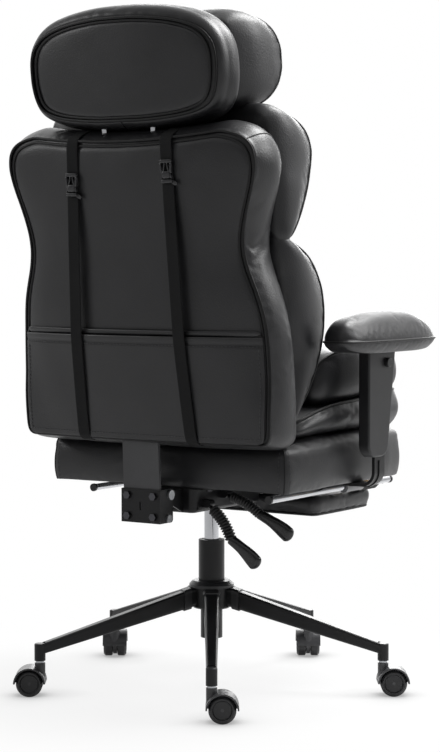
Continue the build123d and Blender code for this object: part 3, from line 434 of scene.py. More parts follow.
def table(levels: Levels, column: int) -> Callable[[Array], Array]:
    """Function that reads one column of a level table along a monotone cubic through its rows.

    Args:
        levels: rows that start with the place along the piece.
        column: the column to read.

    Returns:
        The function of the place; it stays level outside the rows.
    """
    rows = np.array(sorted(tuple(row) for row in levels), float)
    at, value = rows[:, 0], rows[:, column]
    gap = np.diff(at)
    rise = np.diff(value) / gap
    before, after = rise[:-1], rise[1:]
    one, two = 2 * gap[1:] + gap[:-1], gap[1:] + 2 * gap[:-1]
    same_way = before * after > 0
    safe = np.where(same_way, one * after + two * before, 1.0)
    inner = np.where(same_way, (one + two) * before * after / safe, 0.0)
    slope = np.concatenate([rise[:1], inner, rise[-1:]])

    def read(along: Array) -> Array:
        """The cubic's value at each place.

        Args:
            along: places along the piece.

        Returns:
            One value per place.
        """
        place = np.clip(along, at[0], at[-1])
        k = np.clip(np.searchsorted(at, place, side="right") - 1, 0, len(gap) - 1)
        t = (place - at[k]) / gap[k]
        return ((1 + 2 * t) * (1 - t) ** 2 * value[k] + t * (1 - t) ** 2 * gap[k] * slope[k]
                + t ** 2 * (3 - 2 * t) * value[k + 1] + t ** 2 * (t - 1) * gap[k] * slope[k + 1])
    return read


def follows(levels: Levels, column: int) -> Depth:
    """Depth that follows one column of a level table along the piece."""
    read = table(levels, column)
    return lambda across, along: read(along)


def constant(depth: float) -> Depth:
    """The same depth everywhere."""
    return lambda across, along: np.full(np.shape(along), float(depth))


def smooth_rows(levels: Levels, count: int = 90) -> list[tuple[float, float]]:
    """Place and half width of a level table, read at even steps along its smooth curve."""
    along = np.linspace(min(row[0] for row in levels), max(row[0] for row in levels), count)
    return list(zip(along, table(levels, 1)(along)))


def carry(path: Array, facing: Array, wide: Array, thick: Array, square: Array = 2.0, sides: int = 28,
          closed: bool = False) -> Mesh:
    """A superellipse profile carried along a path.

    Args:
        path: middle line.
        facing: direction of the profile's width, one for all points or one each.
        wide: half width at each point.
        thick: half thickness at each point.
        square: power of the superellipse at each point; 2 is round.
        sides: points round the profile.
        closed: join the end to the start.

    Returns:
        Vertices and faces of the closed mesh.
    """
    count = len(path)
    along = unit(np.roll(path, -1, axis=0) - np.roll(path, 1, axis=0) if closed else np.gradient(path, axis=0))
    facing = np.broadcast_to(np.asarray(facing, float), path.shape)
    first = unit(facing - np.sum(facing * along, axis=1, keepdims=True) * along)
    second = np.cross(along, first)
    turn = np.arange(sides) * 2 * np.pi / sides
    wide, thick, square = (np.broadcast_to(np.asarray(size, float), count)[:, None] for size in (wide, thick, square))
    across, rise = soft(np.cos(turn), 2 / square) * wide, soft(np.sin(turn), 2 / square) * thick
    rings = path[:, None] + across[..., None] * first[:, None] + rise[..., None] * second[:, None]
    if not closed:
        return capped(rings)
    points = rings.reshape(-1, 3)
    return points, turn_out(points, grid_faces(count + 1, sides, True) % (count * sides))


def bar(middle: Array, axes: Array, halves: Sequence[float]) -> Mesh:
    """A rounded bar: a superellipsoid with the given half sizes along three axes.

    Args:
        middle: its middle.
        axes: three unit rows.
        halves: half size along each axis.

    Returns:
        Vertices and faces.
    """
    power = 0.4
    lift = np.linspace(-0.495, 0.495, 11) * np.pi
    turn = np.arange(20) * np.pi / 10
    ring = soft(np.cos(lift), power)[:, None]
    spots = np.stack([ring * soft(np.cos(turn), power), ring * soft(np.sin(turn), power),
                      soft(np.sin(lift), power)[:, None] + 0 * turn], axis=-1) * np.array(halves)
    return capped(middle + spots @ axes)


def joined(parts: Sequence[Mesh]) -> Mesh:
    """One mesh out of several."""
    starts = np.cumsum([0] + [len(points) for points, _ in parts])
    return (np.concatenate([points for points, _ in parts]),
            np.concatenate([faces + start for (_, faces), start in zip(parts, starts)]))


def ripple(points: Array, seed: int, length: float, count: int = 7) -> Array:
    """Smooth unevenness from -1 to 1: a sum of plane waves with seeded directions and phases.

    Args:
        points: places in millimetres.
        seed: seed of the directions and phases.
        length: middle wave length in millimetres.
        count: number of waves.

    Returns:
        One value per point.
    """
    pick = np.random.default_rng(seed)
    ways = unit(pick.normal(size=(count, 3))) * (2 * np.pi / (length * pick.uniform(0.6, 1.6, (count, 1))))
    return np.mean(np.sin(points @ ways.T + pick.uniform(0, 2 * np.pi, count)), axis=-1) * 1.6


def stitches(path: Array, facing: Array, pitch: float = 7, radius: float = 0.8, length: float = 5) -> Mesh:
    """A row of short threads laid along a path, each a low six-sided bead.

    Args:
        path: points of the stitch line.
        facing: direction out of the cloth, one per point.
        pitch: distance from one stitch to the next.
        radius: thickness of the thread.
        length: length of one stitch.

    Returns:
        Vertices and faces of all the stitches.
    """
    rows, sides = 5, 6
    arc = run_length(path)
    middles = np.arange(pitch / 2, arc[-1], pitch)
    start, stop = (read_rows(middles + shift, arc, path) for shift in (-length / 2, length / 2))
    out = unit(read_rows(middles, arc, facing))
    side = np.cross(unit(stop - start), out)
    places = np.linspace(0, 1, rows)
    swell = np.sqrt(np.clip(1 - (2 * places - 1) ** 2, 0.08, 1)) * radius
    turn = (np.arange(sides) * 2 * np.pi / sides)[:, None]
    spine = start[:, None] + (stop - start)[:, None] * places[None, :, None]
    ring = np.cos(turn) * out[:, None, None] + np.sin(turn) * side[:, None, None]
    points = (spine[:, :, None] + ring * swell[None, :, None, None]).reshape(len(middles), -1, 3)
    # Each end is shut by a fan of triangles from one of its own points
    k, end = np.arange(1, sides - 1), (rows - 1) * sides
    low = np.stack([np.full(len(k), sides - 1), sides - 1 - k, sides - 2 - k, sides - 2 - k], axis=1)
    high = np.stack([np.full(len(k), end), end + k, end + k + 1, end + k + 1], axis=1)
    one = turn_out(points[0], np.concatenate([grid_faces(rows, sides, True), low, high]))
    faces = one[None] + (np.arange(len(middles)) * rows * sides)[:, None, None]
    return points.reshape(-1, 3), faces.reshape(-1, 4)


def rear(z: Array) -> Array:
    """Y of the leaning rear edge of the back at height z."""
    return 217 + LEAN * (z - BACK_FOOT)


def set_forward(across: Array, along: Array, depth: Array) -> Array:
    """Places width, height and depth in front of the leaning rear edge."""
    return np.stack([across, rear(along) - depth, along], axis=-1)


def set_rearward(across: Array, along: Array, depth: Array) -> Array:
    """Places width, height and depth behind the leaning rear edge."""
    return np.stack([across, rear(along) + depth, along], axis=-1)


def set_level(across: Array, along: Array, depth: Array) -> Array:
    """Places width and length in plan, with depth as the height above the floor."""
    return np.stack([across, along, depth], axis=-1)


def set_hanging(across: Array, along: Array, depth: Array) -> Array:
    """Places width and length in plan, with depth down from the footrest plates."""
    return np.stack([across, along, FOOTREST_PLATES - depth], axis=-1)


@dataclass(frozen=True)
class ClothRun:
    """Numbers of the cloth run that lets a cover swell."""

    frames: int = 20
    quality: int = 2
    mass: float = 0.05
    damping: float = 3.0
    stretch: float = 30
    shear: float = 12
    bend: float = 1.5
    pressure: float = 4.0


@dataclass
class Cushion:
    """A covered foam piece: a crowned face inside a welted edge, a rolled edge, a side panel and a flat rear.

    A point is given by its place round the outline and its place across the rings. On the face the outline is
    drawn in towards its middle and the depth is the edge's plus the crown times one less a power of the ring's
    share. The edge rolls on a quarter of an ellipse, and the side panel swells by a half sine.
    """

    name: str
    body: str
    nodes: tuple[str, ...]
    outline: Array
    place: Callable[[Array, Array, Array], Array]
    face: Depth
    base: Depth
    crown: float = 12
    power: float = 4
    inset: float = 3
    roll: float = 3
    swell: float = 6
    tuck: float = 4
    tuck_power: float = 6
    top_swell: float = 0
    top_inset: float = 0
    groove: float = 1.6
    uneven: float = 0.8
    pucker: float = 0.5
    wave: float = 110
    seed: int = 1
    fill: float = 0.8
    welted: bool = True
    inner: tuple[float, ...] = ()
    welt_radius: float = 3.2
    cap: float = 5
    slack: float = 0.003
    taut: bool = False
    face_rings: int = 34
    side_rings: int = 18
    sewn_within: float = 3
    still_from: float = 90
    rear_away: float = 99
    cloth: ClothRun = ClothRun()
    skin: Array = field(default_factory=lambda: np.zeros((0, 0, 3)))
    normal: Array = field(default_factory=lambda: np.zeros((0, 0, 3)))

    def put(self, flat: Array, deep: Array) -> Array:
        """Points at places in the outline's plane and depths."""
        return self.place(flat[..., 0], flat[..., 1], deep)

    def front(self, flat: Array) -> Array:
        """Depth of the face's edge plane at places in the outline's plane."""
        return self.face(flat[..., 0], flat[..., 1])

    def edge(self) -> tuple[Array, Array, float]:
        """The welted edge of the face, inside the outline.

        Returns:
            The edge, its middle and its mean distance from there.
        """
        out = outward(self.outline)
        edge = self.outline - (self.inset + self.top_inset * np.clip(out[:, 1:], 0, 1) ** 2) * out
        middle = edge.mean(axis=0)
        return edge, middle, float(np.mean(np.linalg.norm(edge - middle, axis=1)))

    def dome(self, share: Array, out: Array) -> Array:
        """Share of the crown at each ring and each place round the outline."""
        return np.broadcast_to(1 - share[:, None] ** self.power, (len(share), len(out)))

    def rings(self) -> tuple[Array, Array]:
        """Works out the whole surface.

        Returns:
            Rings of points, and each ring's distance from the nearest welt in millimetres.
        """
        groove_width, bunching, roll_rings, rear_rings = 5, 1.8, 8, 5
        out, (edge, middle, reach) = outward(self.outline), self.edge()
        share = 1 - (1 - np.linspace(0, 1, self.face_rings + 1)[1:]) ** bunching
        flat = middle + share[:, None, None] * (edge - middle)
        off = (1 - share) * reach
        dip = self.groove * sum(bell(off - line, groove_width) for line in (0.0,) + self.inner)
        face = self.put(flat, self.front(flat) + self.crown * self.dome(share, out) - dip[:, None])
        turn = np.linspace(0, np.pi / 2, roll_rings + 1)[1:]
        bent = edge + np.sin(turn)[:, None, None] * (self.outline - edge)
        rolled = self.put(bent, self.front(edge) - (self.roll * (1 - np.cos(turn)))[:, None])
        down = np.linspace(0, 1, self.side_rings + 1)[1:]
        swell = self.swell + self.top_swell * np.clip(out[:, 1], 0, 1) ** 3
        bulge = swell * np.sin(np.pi * down)[:, None] - (self.tuck * down ** self.tuck_power)[:, None]
        side = self.outline + bulge[..., None] * out
        start, stop = self.front(edge) - self.roll, self.base(self.outline[:, 0], self.outline[:, 1])
        panel = self.put(side, start + (stop - start) * down[:, None])
        shut = np.linspace(1, 0, rear_rings + 2)[1:-1]
        flat = middle + shut[:, None, None] * (side[-1] - middle)
        back = self.put(flat, self.base(flat[..., 0], flat[..., 1]))
        span = float(np.mean(np.abs(stop - start)))
        away = [off, turn * (self.inset + self.roll) / 2, down * span + 1.5,
                np.full(rear_rings, float(self.rear_away))]
        return np.concatenate([face, rolled, panel, back]), np.concatenate(away)

    def swollen(self, rings: Array, away: Array) -> Array:
        """Adds the slow unevenness of the foam and short puckers next to the welts, along the normals.

        Args:
            rings: points of the even surface.
            away: distance of each ring from a welt.

        Returns:
            The uneven surface.
        """
        loose_from, gather_width, pucker_length, pucker_waves = 30, 14, 20, 9
        along = np.gradient(rings, axis=0)
        round_it = np.roll(rings, -1, axis=1) - np.roll(rings, 1, axis=1)
        normal = unit(np.cross(along, round_it))
        if np.mean(np.sum(normal * (rings - rings.mean(axis=(0, 1))), axis=-1)) < 0:
            normal = -normal
        self.normal = normal
        free = np.clip(away / loose_from, 0, 1)[:, None]
        near = (bell(away, gather_width) * np.clip(away / self.sewn_within, 0, 1))[:, None]
        lift = self.uneven * free * ripple(rings, self.seed, self.wave)
        lift = lift + self.pucker * near * ripple(rings, self.seed + 40, pucker_length, pucker_waves)
        lift[away > self.still_from] = 0
        return rings + normal * lift[..., None]

    def welt(self) -> Array:
        """Middle line of the cord at the face's edge, drawn a little out of it."""
        edge = self.edge()[0]
        return self.put(edge + 0.35 * self.welt_radius * outward(self.outline),
                        self.front(edge) + 0.15 * self.welt_radius)

    def inner_cord(self, line: float) -> Array:
        """Middle line of a cord sewn into the face.

        Args:
            line: distance inside the edge.

        Returns:
            Points of the line.
        """
        edge, middle, reach = self.edge()
        share = 1 - line / reach
        flat = middle + share * (edge - middle)
        return self.put(flat, self.front(flat) + self.crown * (1 - share ** self.power) - 0.5 * self.groove)

    def build(self) -> None:
        """Makes the cushion and its welts."""
        rings, away = self.rings()
        self.skin = self.swollen(rings, away)
        body = add_piece(self.name, *capped(self.skin), LEATHERETTE, self.body)
        self.settle(body, away)
        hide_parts(*self.nodes)
        nil = np.zeros(1)
        facing = unit(self.place(nil, nil, nil + 1) - self.place(nil, nil, nil))
        paths = [self.welt()] * self.welted + [self.inner_cord(line) for line in self.inner]
        for number, path in enumerate(paths, 1):
            cord = carry(path, facing, self.welt_radius, self.welt_radius, sides=CORD_SIDES, closed=True)
            # The cords take the darker vinyl: painted shade along each welt
            add_piece(f"{self.name}_welt_{number}", *cord, PAINTED_SHADE_VINYL, self.body)

    def settle(self, body: bpy.types.Object, away: Array) -> None:
        """Lets the cover swell as cloth under pressure, sewn down at its welts.

        It is held on its flat rear and in the middle of its face, far from the welts. A taut cover's
        face is stretched over a board and stays, so only its side panel swells. The cloth is cut a little larger
        than the foam, so that it gathers beside the seams. A point moves by no more than the cap, and the outcome
        is written into the mesh, so no modifier is left.

        Args:
            body: the cushion's object.
            away: distance of each ring from a welt.
        """
        scene, count, run = bpy.context.scene, len(self.outline), self.cloth
        still = (away < self.sewn_within) | (away > self.still_from)
        still = still | (self.taut & (np.arange(len(away)) < self.face_rings))
        held = np.flatnonzero(np.append(np.repeat(still, count), [self.taut, True]))
        body.vertex_groups.new(name="sewn").add(held.tolist(), 1.0, "REPLACE")
        cloth = body.modifiers.new("cover", "CLOTH")
        cover = cloth.settings
        cover.quality, cover.mass, cover.air_damping = run.quality, run.mass, run.damping
        cover.tension_stiffness = cover.compression_stiffness = run.stretch
        cover.shear_stiffness, cover.bending_stiffness = run.shear, run.bend
        cover.vertex_group_mass, cover.shrink_min = "sewn", -self.slack
        cover.use_pressure, cover.uniform_pressure_force = True, run.pressure
        cover.effector_weights.gravity = 0
        cloth.collision_settings.use_collision = False
        cloth.point_cache.frame_start, cloth.point_cache.frame_end = 1, run.frames
        for step in range(1, run.frames + 1):
            scene.frame_set(step)
        before = np.zeros(len(body.data.vertices) * 3, np.float32)
        after = np.zeros_like(before)
        body.data.vertices.foreach_get("co", before)
        body.evaluated_get(bpy.context.evaluated_depsgraph_get()).data.vertices.foreach_get("co", after)
        body.modifiers.remove(cloth)
        body.vertex_groups.clear()
        scene.frame_set(1)
        move = (after - before).reshape(-1, 3)
        size = np.linalg.norm(move, axis=1, keepdims=True)
        move = move * np.tanh(size / (self.cap * MM)) * self.cap * MM / np.maximum(size, 1e-9)
        body.data.vertices.foreach_set("co", (before.reshape(-1, 3) + move).ravel())
        body.data.update()
        self.skin = self.skin + move[:len(self.skin) * count].reshape(self.skin.shape) / MM
        log.info("%s: cloth moved %.1f mm at most, %.1f mm as a mean", self.name, float(size.max()) / MM,
                 float(size.mean()) / MM)

    def seam(self, way: tuple[float, float], word: str, rows: slice, twin: int = 0) -> None:
        """A sewn joint across the side panel, where the outline looks most in one direction.

        Args:
            way: direction in the outline's plane.
            word: last part of the piece's name.
            rows: rings that the joint runs over.
            twin: columns to each side at which a row of stitches runs, or 0 for none.
        """
        cord, sunk = 1.5, 0.2
        column = int(np.argmax(outward(self.outline) @ unit(np.array(way, float))))
        path, out = self.skin[rows, column], self.normal[rows, column]
        # The joint's cord takes the darker vinyl: painted shade along the seam
        add_piece(f"{self.name}_joint_{word}", *carry(path - sunk * out, out, cord, cord, sides=6), PAINTED_SHADE_VINYL, self.body)
        if twin:
            beside = [(column + step) % self.skin.shape[1] for step in (-twin, twin)]
            lines = [stitches(self.skin[rows, k] + sunk * self.normal[rows, k], self.normal[rows, k], 7.5, 0.7)
                     for k in beside]
            add_piece(f"{self.name}_joint_{word}_stitches", *joined(lines), THREAD, self.body)


# Rows of height and half width; cushions add their depth, and seat layers give their rear to front place, half
# width, underside and top
BACK_LEVELS = ((488, 262), (493, 269), (504, 273), (540, 275), (580, 276.5), (620, 276), (660, 275), (700, 272),
               (740, 265.5), (760, 260), (780, 253.5), (800, 246.5), (820, 241.5), (840, 239), (860, 240),
               (881.5, 244), (903, 250), (924.5, 257), (946, 264.5), (967.5, 270.5), (989, 274), (1010, 272),
               (1027, 263), (1040, 243), (1049, 206))
BACK_EDGE_LEVELS = ((488, 3), (540, 0), (620, -10), (690, -13.5), (760, -9), (840, -4.5), (940, -3), (1049, 0))
UPPER_LEVELS = ((857, 248, 139), (866, 250, 147), (890, 252, 166), (924, 253, 188), (955, 253, 205), (981, 252, 216),
                (1000, 252, 222), (1018, 252, 225), (1038, 251, 221), (1052, 250, 213), (1066, 247, 198),
                (1078, 242, 174), (1085, 234, 150), (1089, 220, 118))
LUMBAR_LEVELS = ((508, 240, 100), (530, 248, 114), (549, 253, 132), (590, 257, 168), (632, 258, 197), (670, 259, 215),
                 (699, 259, 224), (733, 259, 228), (762, 259, 225), (791, 258, 214), (819, 257, 194),
                 (841, 254, 164), (853, 248, 137), (861, 238, 108))
HEAD_LEVELS = ((1057, 48), (1060, 92), (1064, 128), (1071, 161), (1082, 187), (1096, 201), (1122, 211), (1150, 215),
               (1175, 215), (1200, 211), (1217, 203), (1234, 189), (1246, 172), (1256, 148), (1264, 114), (1269, 76),
               (1272, 36))
HEAD_PAD_LEVELS = ((1094, 182, 138), (1105, 194, 160), (1122, 202, 183), (1147, 206, 203), (1175, 207, 212),
                   (1198, 207, 212), (1222, 206, 203), (1240, 202, 188), (1252, 194, 168), (1259, 180, 145),
                   (1263, 160, 115))
SEAT_BASE_LEVELS = ((156, 256, 397.4, 474), (146, 263, 397.4, 481), (60, 265, 397.4, 491), (-20, 265, 397.4, 494),
                    (-131, 265, 397.4, 495), (-217, 264, 397.4, 494), (-280, 254, 399, 490), (-318, 226, 411, 480),
                    (-334, 190, 430, 462))
SEAT_MIDDLE_LEVELS = ((100, 236, 490, 505), (88, 246, 491.5, 520), (60, 252, 493, 531), (22, 256, 495.5, 541),
                      (-52, 257, 497, 550), (-116, 257, 497, 553), (-217, 255, 496, 560), (-285, 244, 492, 565),
                      (-322, 216, 494, 560), (-336, 180, 508, 545))
SEAT_TOP_LEVELS = ((4, 228, 544.7, 600), (-22, 242, 548.2, 634), (-52, 248, 551.2, 645), (-116, 250, 554.7, 648),
                   (-217, 250, 561.7, 648), (-285, 240, 566.7, 646), (-320, 214, 565.7, 636), (-334, 182, 570.7, 618))
# Height of a strap's middle line and its distance behind the leaning rear edge, from the top of the back down
STRAP_KNOTS = ((1056.2, -60), (1058.6, -35), (1053.8, -14), (1046, 6), (1042.5, 18), (1036, 24.5), (1020, 26),
               (955, 28.2), (850, 33), (740, 37), (690, 39), (676, 39.3), (640, 38), (560, 33.5), (505, 29.5),
               (490, 27), (486, 20), (485.5, 0), (485.5, -60))
# Bars of a buckle: place across and along the strap and above it, three half sizes, and turn in degrees
BUCKLE_BARS = ((0, 18, 2.6, 13, 3.2, 3.0, 0), (-10.4, 6, 2.6, 2.1, 9.5, 2.8, 5), (10.4, 6, 2.6, 2.1, 9.5, 2.8, -5),
               (-4.2, 7, 2.4, 1.5, 9, 2.4, -13), (4.2, 7, 2.4, 1.5, 9, 2.4, 13), (0, -6, 2.8, 8.6, 6.5, 3.4, 0),
               (-9.6, -8, 2.4, 1.6, 5, 2.4, -16), (9.6, -8, 2.4, 1.6, 5, 2.4, 16), (0, -17.5, 2.6, 12, 3.2, 3.0, 0),
               (15, -21, 1.2, 5.5, 3.4, 0.9, -24))


@dataclass
class Backrest:
    """The boxed back with its pocket, straps and buckles, and the two cushions in front of it."""

    depth: float = 95
    bow: float = 23
    bow_half: float = 260
    dip: float = 14
    pocket_low: float = 492
    pocket_high: float = 683
    pocket_inset: float = 10.5
    pocket_mouth: float = 12
    pocket_skin: float = 2.5
    pocket_corner: float = 10
    hem_drop: float = 13
    lip_rise: float = 5.5
    strap_top: float = 103
    strap_foot: float = 120
    strap_high: float = 1040
    strap_width: float = 25
    strap_thick: float = 1.6

    def bowed(self, across: Array, along: Array) -> Array:
        """Depth of the rear panel behind its edge line: a parabola over the width, lower where it is narrow.

        Args:
            across: places across the back.
            along: heights.

        Returns:
            Depths behind the straight rear line.
        """
        half = table(BACK_LEVELS, 1)(along)
        edge = table(BACK_EDGE_LEVELS, 1)(along) * np.clip(across / half, -1, 1) ** 4
        return self.bow * half / self.bow_half * np.clip(1 - (across / half) ** 2, 0, 1) + edge

    def outline(self) -> Array:
        """Outline of the box, dipped along its top edge by a shallow arc.

        Returns:
            Points of the closed curve.
        """
        right = np.array([(half, z) for z, half in smooth_rows(BACK_LEVELS, 140)], float)
        left = (right * [-1, 1])[::-1]
        across = np.linspace(right[-1, 0], left[0, 0], 41)[1:-1]
        top = right[-1, 1] - self.dip * np.clip(1 - (across / right[-1, 0]) ** 2, 0, 1)
        return even_loop(np.vstack([right, np.stack([across, top], axis=1), left]), 420, 7)

    def build(self) -> None:
        """Makes the box, the cushions, the pocket and the straps."""
        box = Cushion("back_box_cover", "back", ("back_shell",), self.outline(), set_rearward, self.bowed,
                      constant(-self.depth), crown=4, power=8, inset=4, roll=4, swell=8, tuck=9, tuck_power=9,
                      top_swell=10, groove=2.4, welt_radius=2.6, inner=(8.5,), seed=3, uneven=0.7, taut=True)
        box.build()
        for side, word in SIDES:
            box.seam((side, 1.2), f"top_{word}", slice(box.face_rings + 6, box.face_rings + 8 + box.side_rings))
        for name, node, levels, seed in (("upper_back_cover", "upper_back_cushion", UPPER_LEVELS, 5),
                                         ("lumbar_cover", "lumbar_cushion", LUMBAR_LEVELS, 8)):
            Cushion(name, "back", (node,), even_loop(mirrored(smooth_rows(levels)), 360, 9), set_forward,
                    follows(levels, 2), constant(self.depth + 0.5), crown=24, power=3, swell=11, tuck=9, tuck_power=7,
                    seed=seed, uneven=1.2).build()
        self.pocket()
        self.straps()
        self.buckles()

    def pocket(self) -> None:
        """The sewn pocket panel: a bowed sheet that stands open at its mouth, with a hem and a stitched border."""
        rows, columns, clear, corner_draw = 60, 140, 2.7, 9
        tall, hem = self.pocket_high - self.pocket_low, self.pocket_high - self.hem_drop
        across = np.linspace(-1, 1, columns)[None]
        z = self.pocket_low + tall * np.linspace(0, 1, rows)[:, None] + 0 * across
        # The lower corners are rounded by drawing the width in on a quarter circle
        corner = np.sqrt(1 - np.clip(1 - (z - self.pocket_low) / self.pocket_corner, 0, 1) ** 2)
        half = table(BACK_LEVELS, 1)(z) - self.pocket_inset - corner_draw * (1 - corner)
        x = half * across
        # The sheet lies close at its foot and stands off towards its mouth
        stand = np.interp(z, (492, 506, 565, 675, 683), (0.05, 0.1, 0.45, 0.96, 1.0)) * self.pocket_mouth
        inner = set_rearward(x, z, self.bowed(x, z) + clear + stand * np.clip(1 - (x / half) ** 2, 0, 1))
        outer = inner + np.array([0, self.pocket_skin, 0])
        sag = 0.9 * ripple(outer, 21, 90) * np.clip((1 - np.abs(across)) * 8, 0, 1)
        outer[..., 1] += sag - 1.4 * bell(z - hem, 2.4)
        points = np.concatenate([inner, outer[::-1]]).reshape(-1, 3)
        total = 2 * rows
        shut, last, row = np.arange(columns - 1), (total - 1) * columns, np.arange(rows - 1)
        foot = np.stack([shut + last, shut + last + 1, shut + 1, shut], axis=1)
        left = np.stack([row, row + 1, total - 2 - row, total - 1 - row], axis=1) * columns
        faces = np.concatenate([grid_faces(total, columns, False), foot, left, left[:, ::-1] + columns - 1])
        panel = add_piece("pocket_panel", points, turn_out(points, faces), LEATHERETTE, "back")
        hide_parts("back_pocket")
        width = 2 * float(half[-1, 0])
        self.sewn_row("hem", outer[int((hem - self.pocket_low) / tall * (rows - 1))] + [0, 0.9, 0])
        self.mouth(width / 2)
        self.sewn_row("border", np.concatenate([outer[3:-6, 2][::-1], outer[3, 3:-3], outer[3:-6, -3]]) + [0, 0.5, 0])

    def sewn_row(self, word: str, path: Array) -> None:
        """Stitches along a path on the pocket."""
        line = stitches(path, np.broadcast_to([0.0, 1.0, 0.0], path.shape))
        add_piece(f"pocket_{word}_stitches", *line, THREAD, "back")

    def mouth(self, half: float) -> None:
        """Facing of the pocket's mouth, which stands above the sheet's edge, and a fold at each of its ends.

        Args:
            half: half width of the sheet at its mouth.
        """
        lip, run = self.pocket_high + self.lip_rise, np.linspace(-1, 1, 120)
        x = (half - 3) * run
        arch = np.clip(1 - (x / half) ** 2, 0, 1)
        stand = self.bowed(x, np.full(len(x), lip)) + 3.2 + 0.5 * self.pocket_mouth * arch
        facing = np.stack([x, rear(lip) + stand, lip + 1.2 * (x / half) ** 2], axis=1)
        ends = np.clip((1 - np.abs(run)) * 40, 0.25, 1)
        add_piece("pocket_facing", *carry(facing, (0, 0.25, 1), 5.2 * ends, 2.2 * ends, 2.4, 20), LEATHERETTE, "back")
        for side, word in SIDES:
            knots = np.array([(half + 1, lip - 9), (half - 6, lip - 1), (half - 16, lip + 3)]) * [side, 1]
            x, z = read_rows(np.linspace(0, 2, 24), np.arange(3), knots).T
            fold = carry(set_rearward(x, z, self.bowed(x, z) + 2.5), (0, 1, 0), 2.4, 2.4, sides=CORD_SIDES)
            # The fold takes the darker vinyl: painted shade in the fold
            add_piece(f"pocket_fold_{word}", *fold, PAINTED_SHADE_VINYL, "back")

    def strap_x(self, z: Array) -> Array:
        """Distance of a strap from the middle of the back at height z; the straps part towards their feet."""
        share = (self.strap_high - np.clip(z, BACK_FOOT, self.strap_high)) / (self.strap_high - BACK_FOOT)
        return self.strap_top + (self.strap_foot - self.strap_top) * share

    def straps(self) -> None:
        """Webbing straps: a flat woven profile carried over the top, down the rear, over the pocket and under."""
        step, sides, blur = 4.0, 20, 6
        z, off = np.array(STRAP_KNOTS).T
        keep = np.exp(-0.5 * (np.arange(-blur, blur + 1) / 2.0) ** 2)
        for side, word in SIDES:
            route = set_rearward(side * self.strap_x(z), z, off)
            arc = run_length(route)
            at = np.arange(0, arc[-1], step)
            line = np.pad(read_rows(at, arc, route), ((blur, blur), (0, 0)), mode="edge")
            line = np.stack([np.convolve(column, keep / keep.sum(), "valid") for column in line.T], axis=1)
            points, faces = carry(line, (1, 0, 0), self.strap_width / 2, self.strap_thick / 2, 5.0, sides)
            flat = np.cos(np.arange(sides) * 2 * np.pi / sides) * self.strap_width / 2
            strip = np.stack(np.broadcast_arrays(flat, at[:, None]), axis=-1).reshape(-1, 2)
            strip = np.concatenate([strip, np.zeros((2, 2))]) * MM
            strap = add_piece(f"strap_{word}", points, faces, WEBBING, "back", strip=strip)
            if side > 0:
                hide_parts("straps")

    def buckles(self) -> None:
        """Side-release buckles: end bars, side prongs in their windows, a V-shaped tongue, a body and a loose end."""
        for side, word, z in ((1, "left", 956.0), (-1, "right", 976.0)):
            stand = np.interp(z, (850, 955, 1020), (33, 28.2, 25)) + self.strap_thick / 2
            middle = np.array([side * self.strap_x(z), rear(z) + stand, z])
            part = (self.strap_foot - self.strap_top) / (self.strap_high - BACK_FOOT)
            along = unit(np.array([-side * part, LEAN - 0.045, 1.0]))
            out = unit(np.cross(np.array([-1.0, 0, 0]), along))
            across = np.cross(along, out)
            bars = []
            for x, y, rise, half_x, half_y, half_z, turn in BUCKLE_BARS:
                c, v = math.cos(math.radians(turn)), math.sin(math.radians(turn))
                axes = np.stack([c * across + v * along, c * along - v * across, out])
                bars.append(bar(middle + x * across + y * along + rise * out, axes, (half_x, half_y, half_z)))
            # The buckle takes the paler plastic: a painted sheen
            clip = add_piece(f"buckle_{word}", *joined(bars), ACETAL_PAINTED_SHEEN, "back")
            if side > 0:
                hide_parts("strap_buckles")


@dataclass
class Headrest:
    """The headrest box with its inset rear panel, and the head cushion."""

    depth: float = 64
    bow: float = 14
    bow_half: float = 150

    def bowed(self, across: Array, along: Array) -> Array:
        """Depth of the rear panel: a parabola over the width."""
        half = np.maximum(table(HEAD_LEVELS, 1)(along), self.bow_half)
        return self.bow * np.clip(1 - (across / half) ** 2, 0, 1) - 2

    def build(self) -> None:
        """Makes the box and the cushion."""
        box, pad = (even_loop(mirrored(smooth_rows(levels)), 320, 9) for levels in (HEAD_LEVELS, HEAD_PAD_LEVELS))
        shell = Cushion("headrest_box_cover", "headrest", ("headrest_shell",), box, set_rearward, self.bowed,
                        constant(-self.depth), crown=3, power=8, inset=13, roll=22, top_inset=10, swell=4, tuck=8,
                        tuck_power=8, groove=3, welt_radius=2.7, inner=(7.5,), seed=11, uneven=0.7, slack=0.002,
                        taut=True)
        shell.build()
        shell.seam((0, -1), "bottom", slice(shell.face_rings, shell.face_rings + 12))
        Cushion("head_cushion_cover", "headrest", ("head_cushion",), pad, set_forward, follows(HEAD_PAD_LEVELS, 2),
                constant(self.depth + 0.5), crown=20, power=3, swell=7, tuck=17, tuck_power=3, seed=14,
                uneven=1.0).build()


@dataclass
class Seat:
    """Three layers of the seat: the base box, the middle cushion and the top pillow."""

    def build(self) -> None:
        """Makes the layers from the bottom up."""
        for name, levels, crown, shape, seed, welted in (
                ("seat_base", SEAT_BASE_LEVELS, 2, (15, 21, 3, 2, 8, 4), 31, False),
                ("seat_middle", SEAT_MIDDLE_LEVELS, 3, (4, 4, 8, 12, 4, 9), 34, True),
                ("seat_top", SEAT_TOP_LEVELS, 10, (4, 4, 7, 7, 9, 9), 37, True)):
            inset, roll, swell, tuck, tuck_power, rounding = shape
            layer = Cushion(f"{name}_cover", "seat", (f"{name}_cushion",), even_loop(mirrored(levels), 360, rounding),
                            set_level, follows(levels, 3), follows(levels, 2), crown=crown, inset=inset, roll=roll,
                            swell=swell, tuck=tuck, tuck_power=tuck_power, seed=seed, uneven=1.0, welted=welted)
            layer.build()
            for side, word in () if welted else SIDES:
                layer.seam((side, 1), word, slice(layer.face_rings + 1, layer.face_rings + 8 + layer.side_rings), 2)


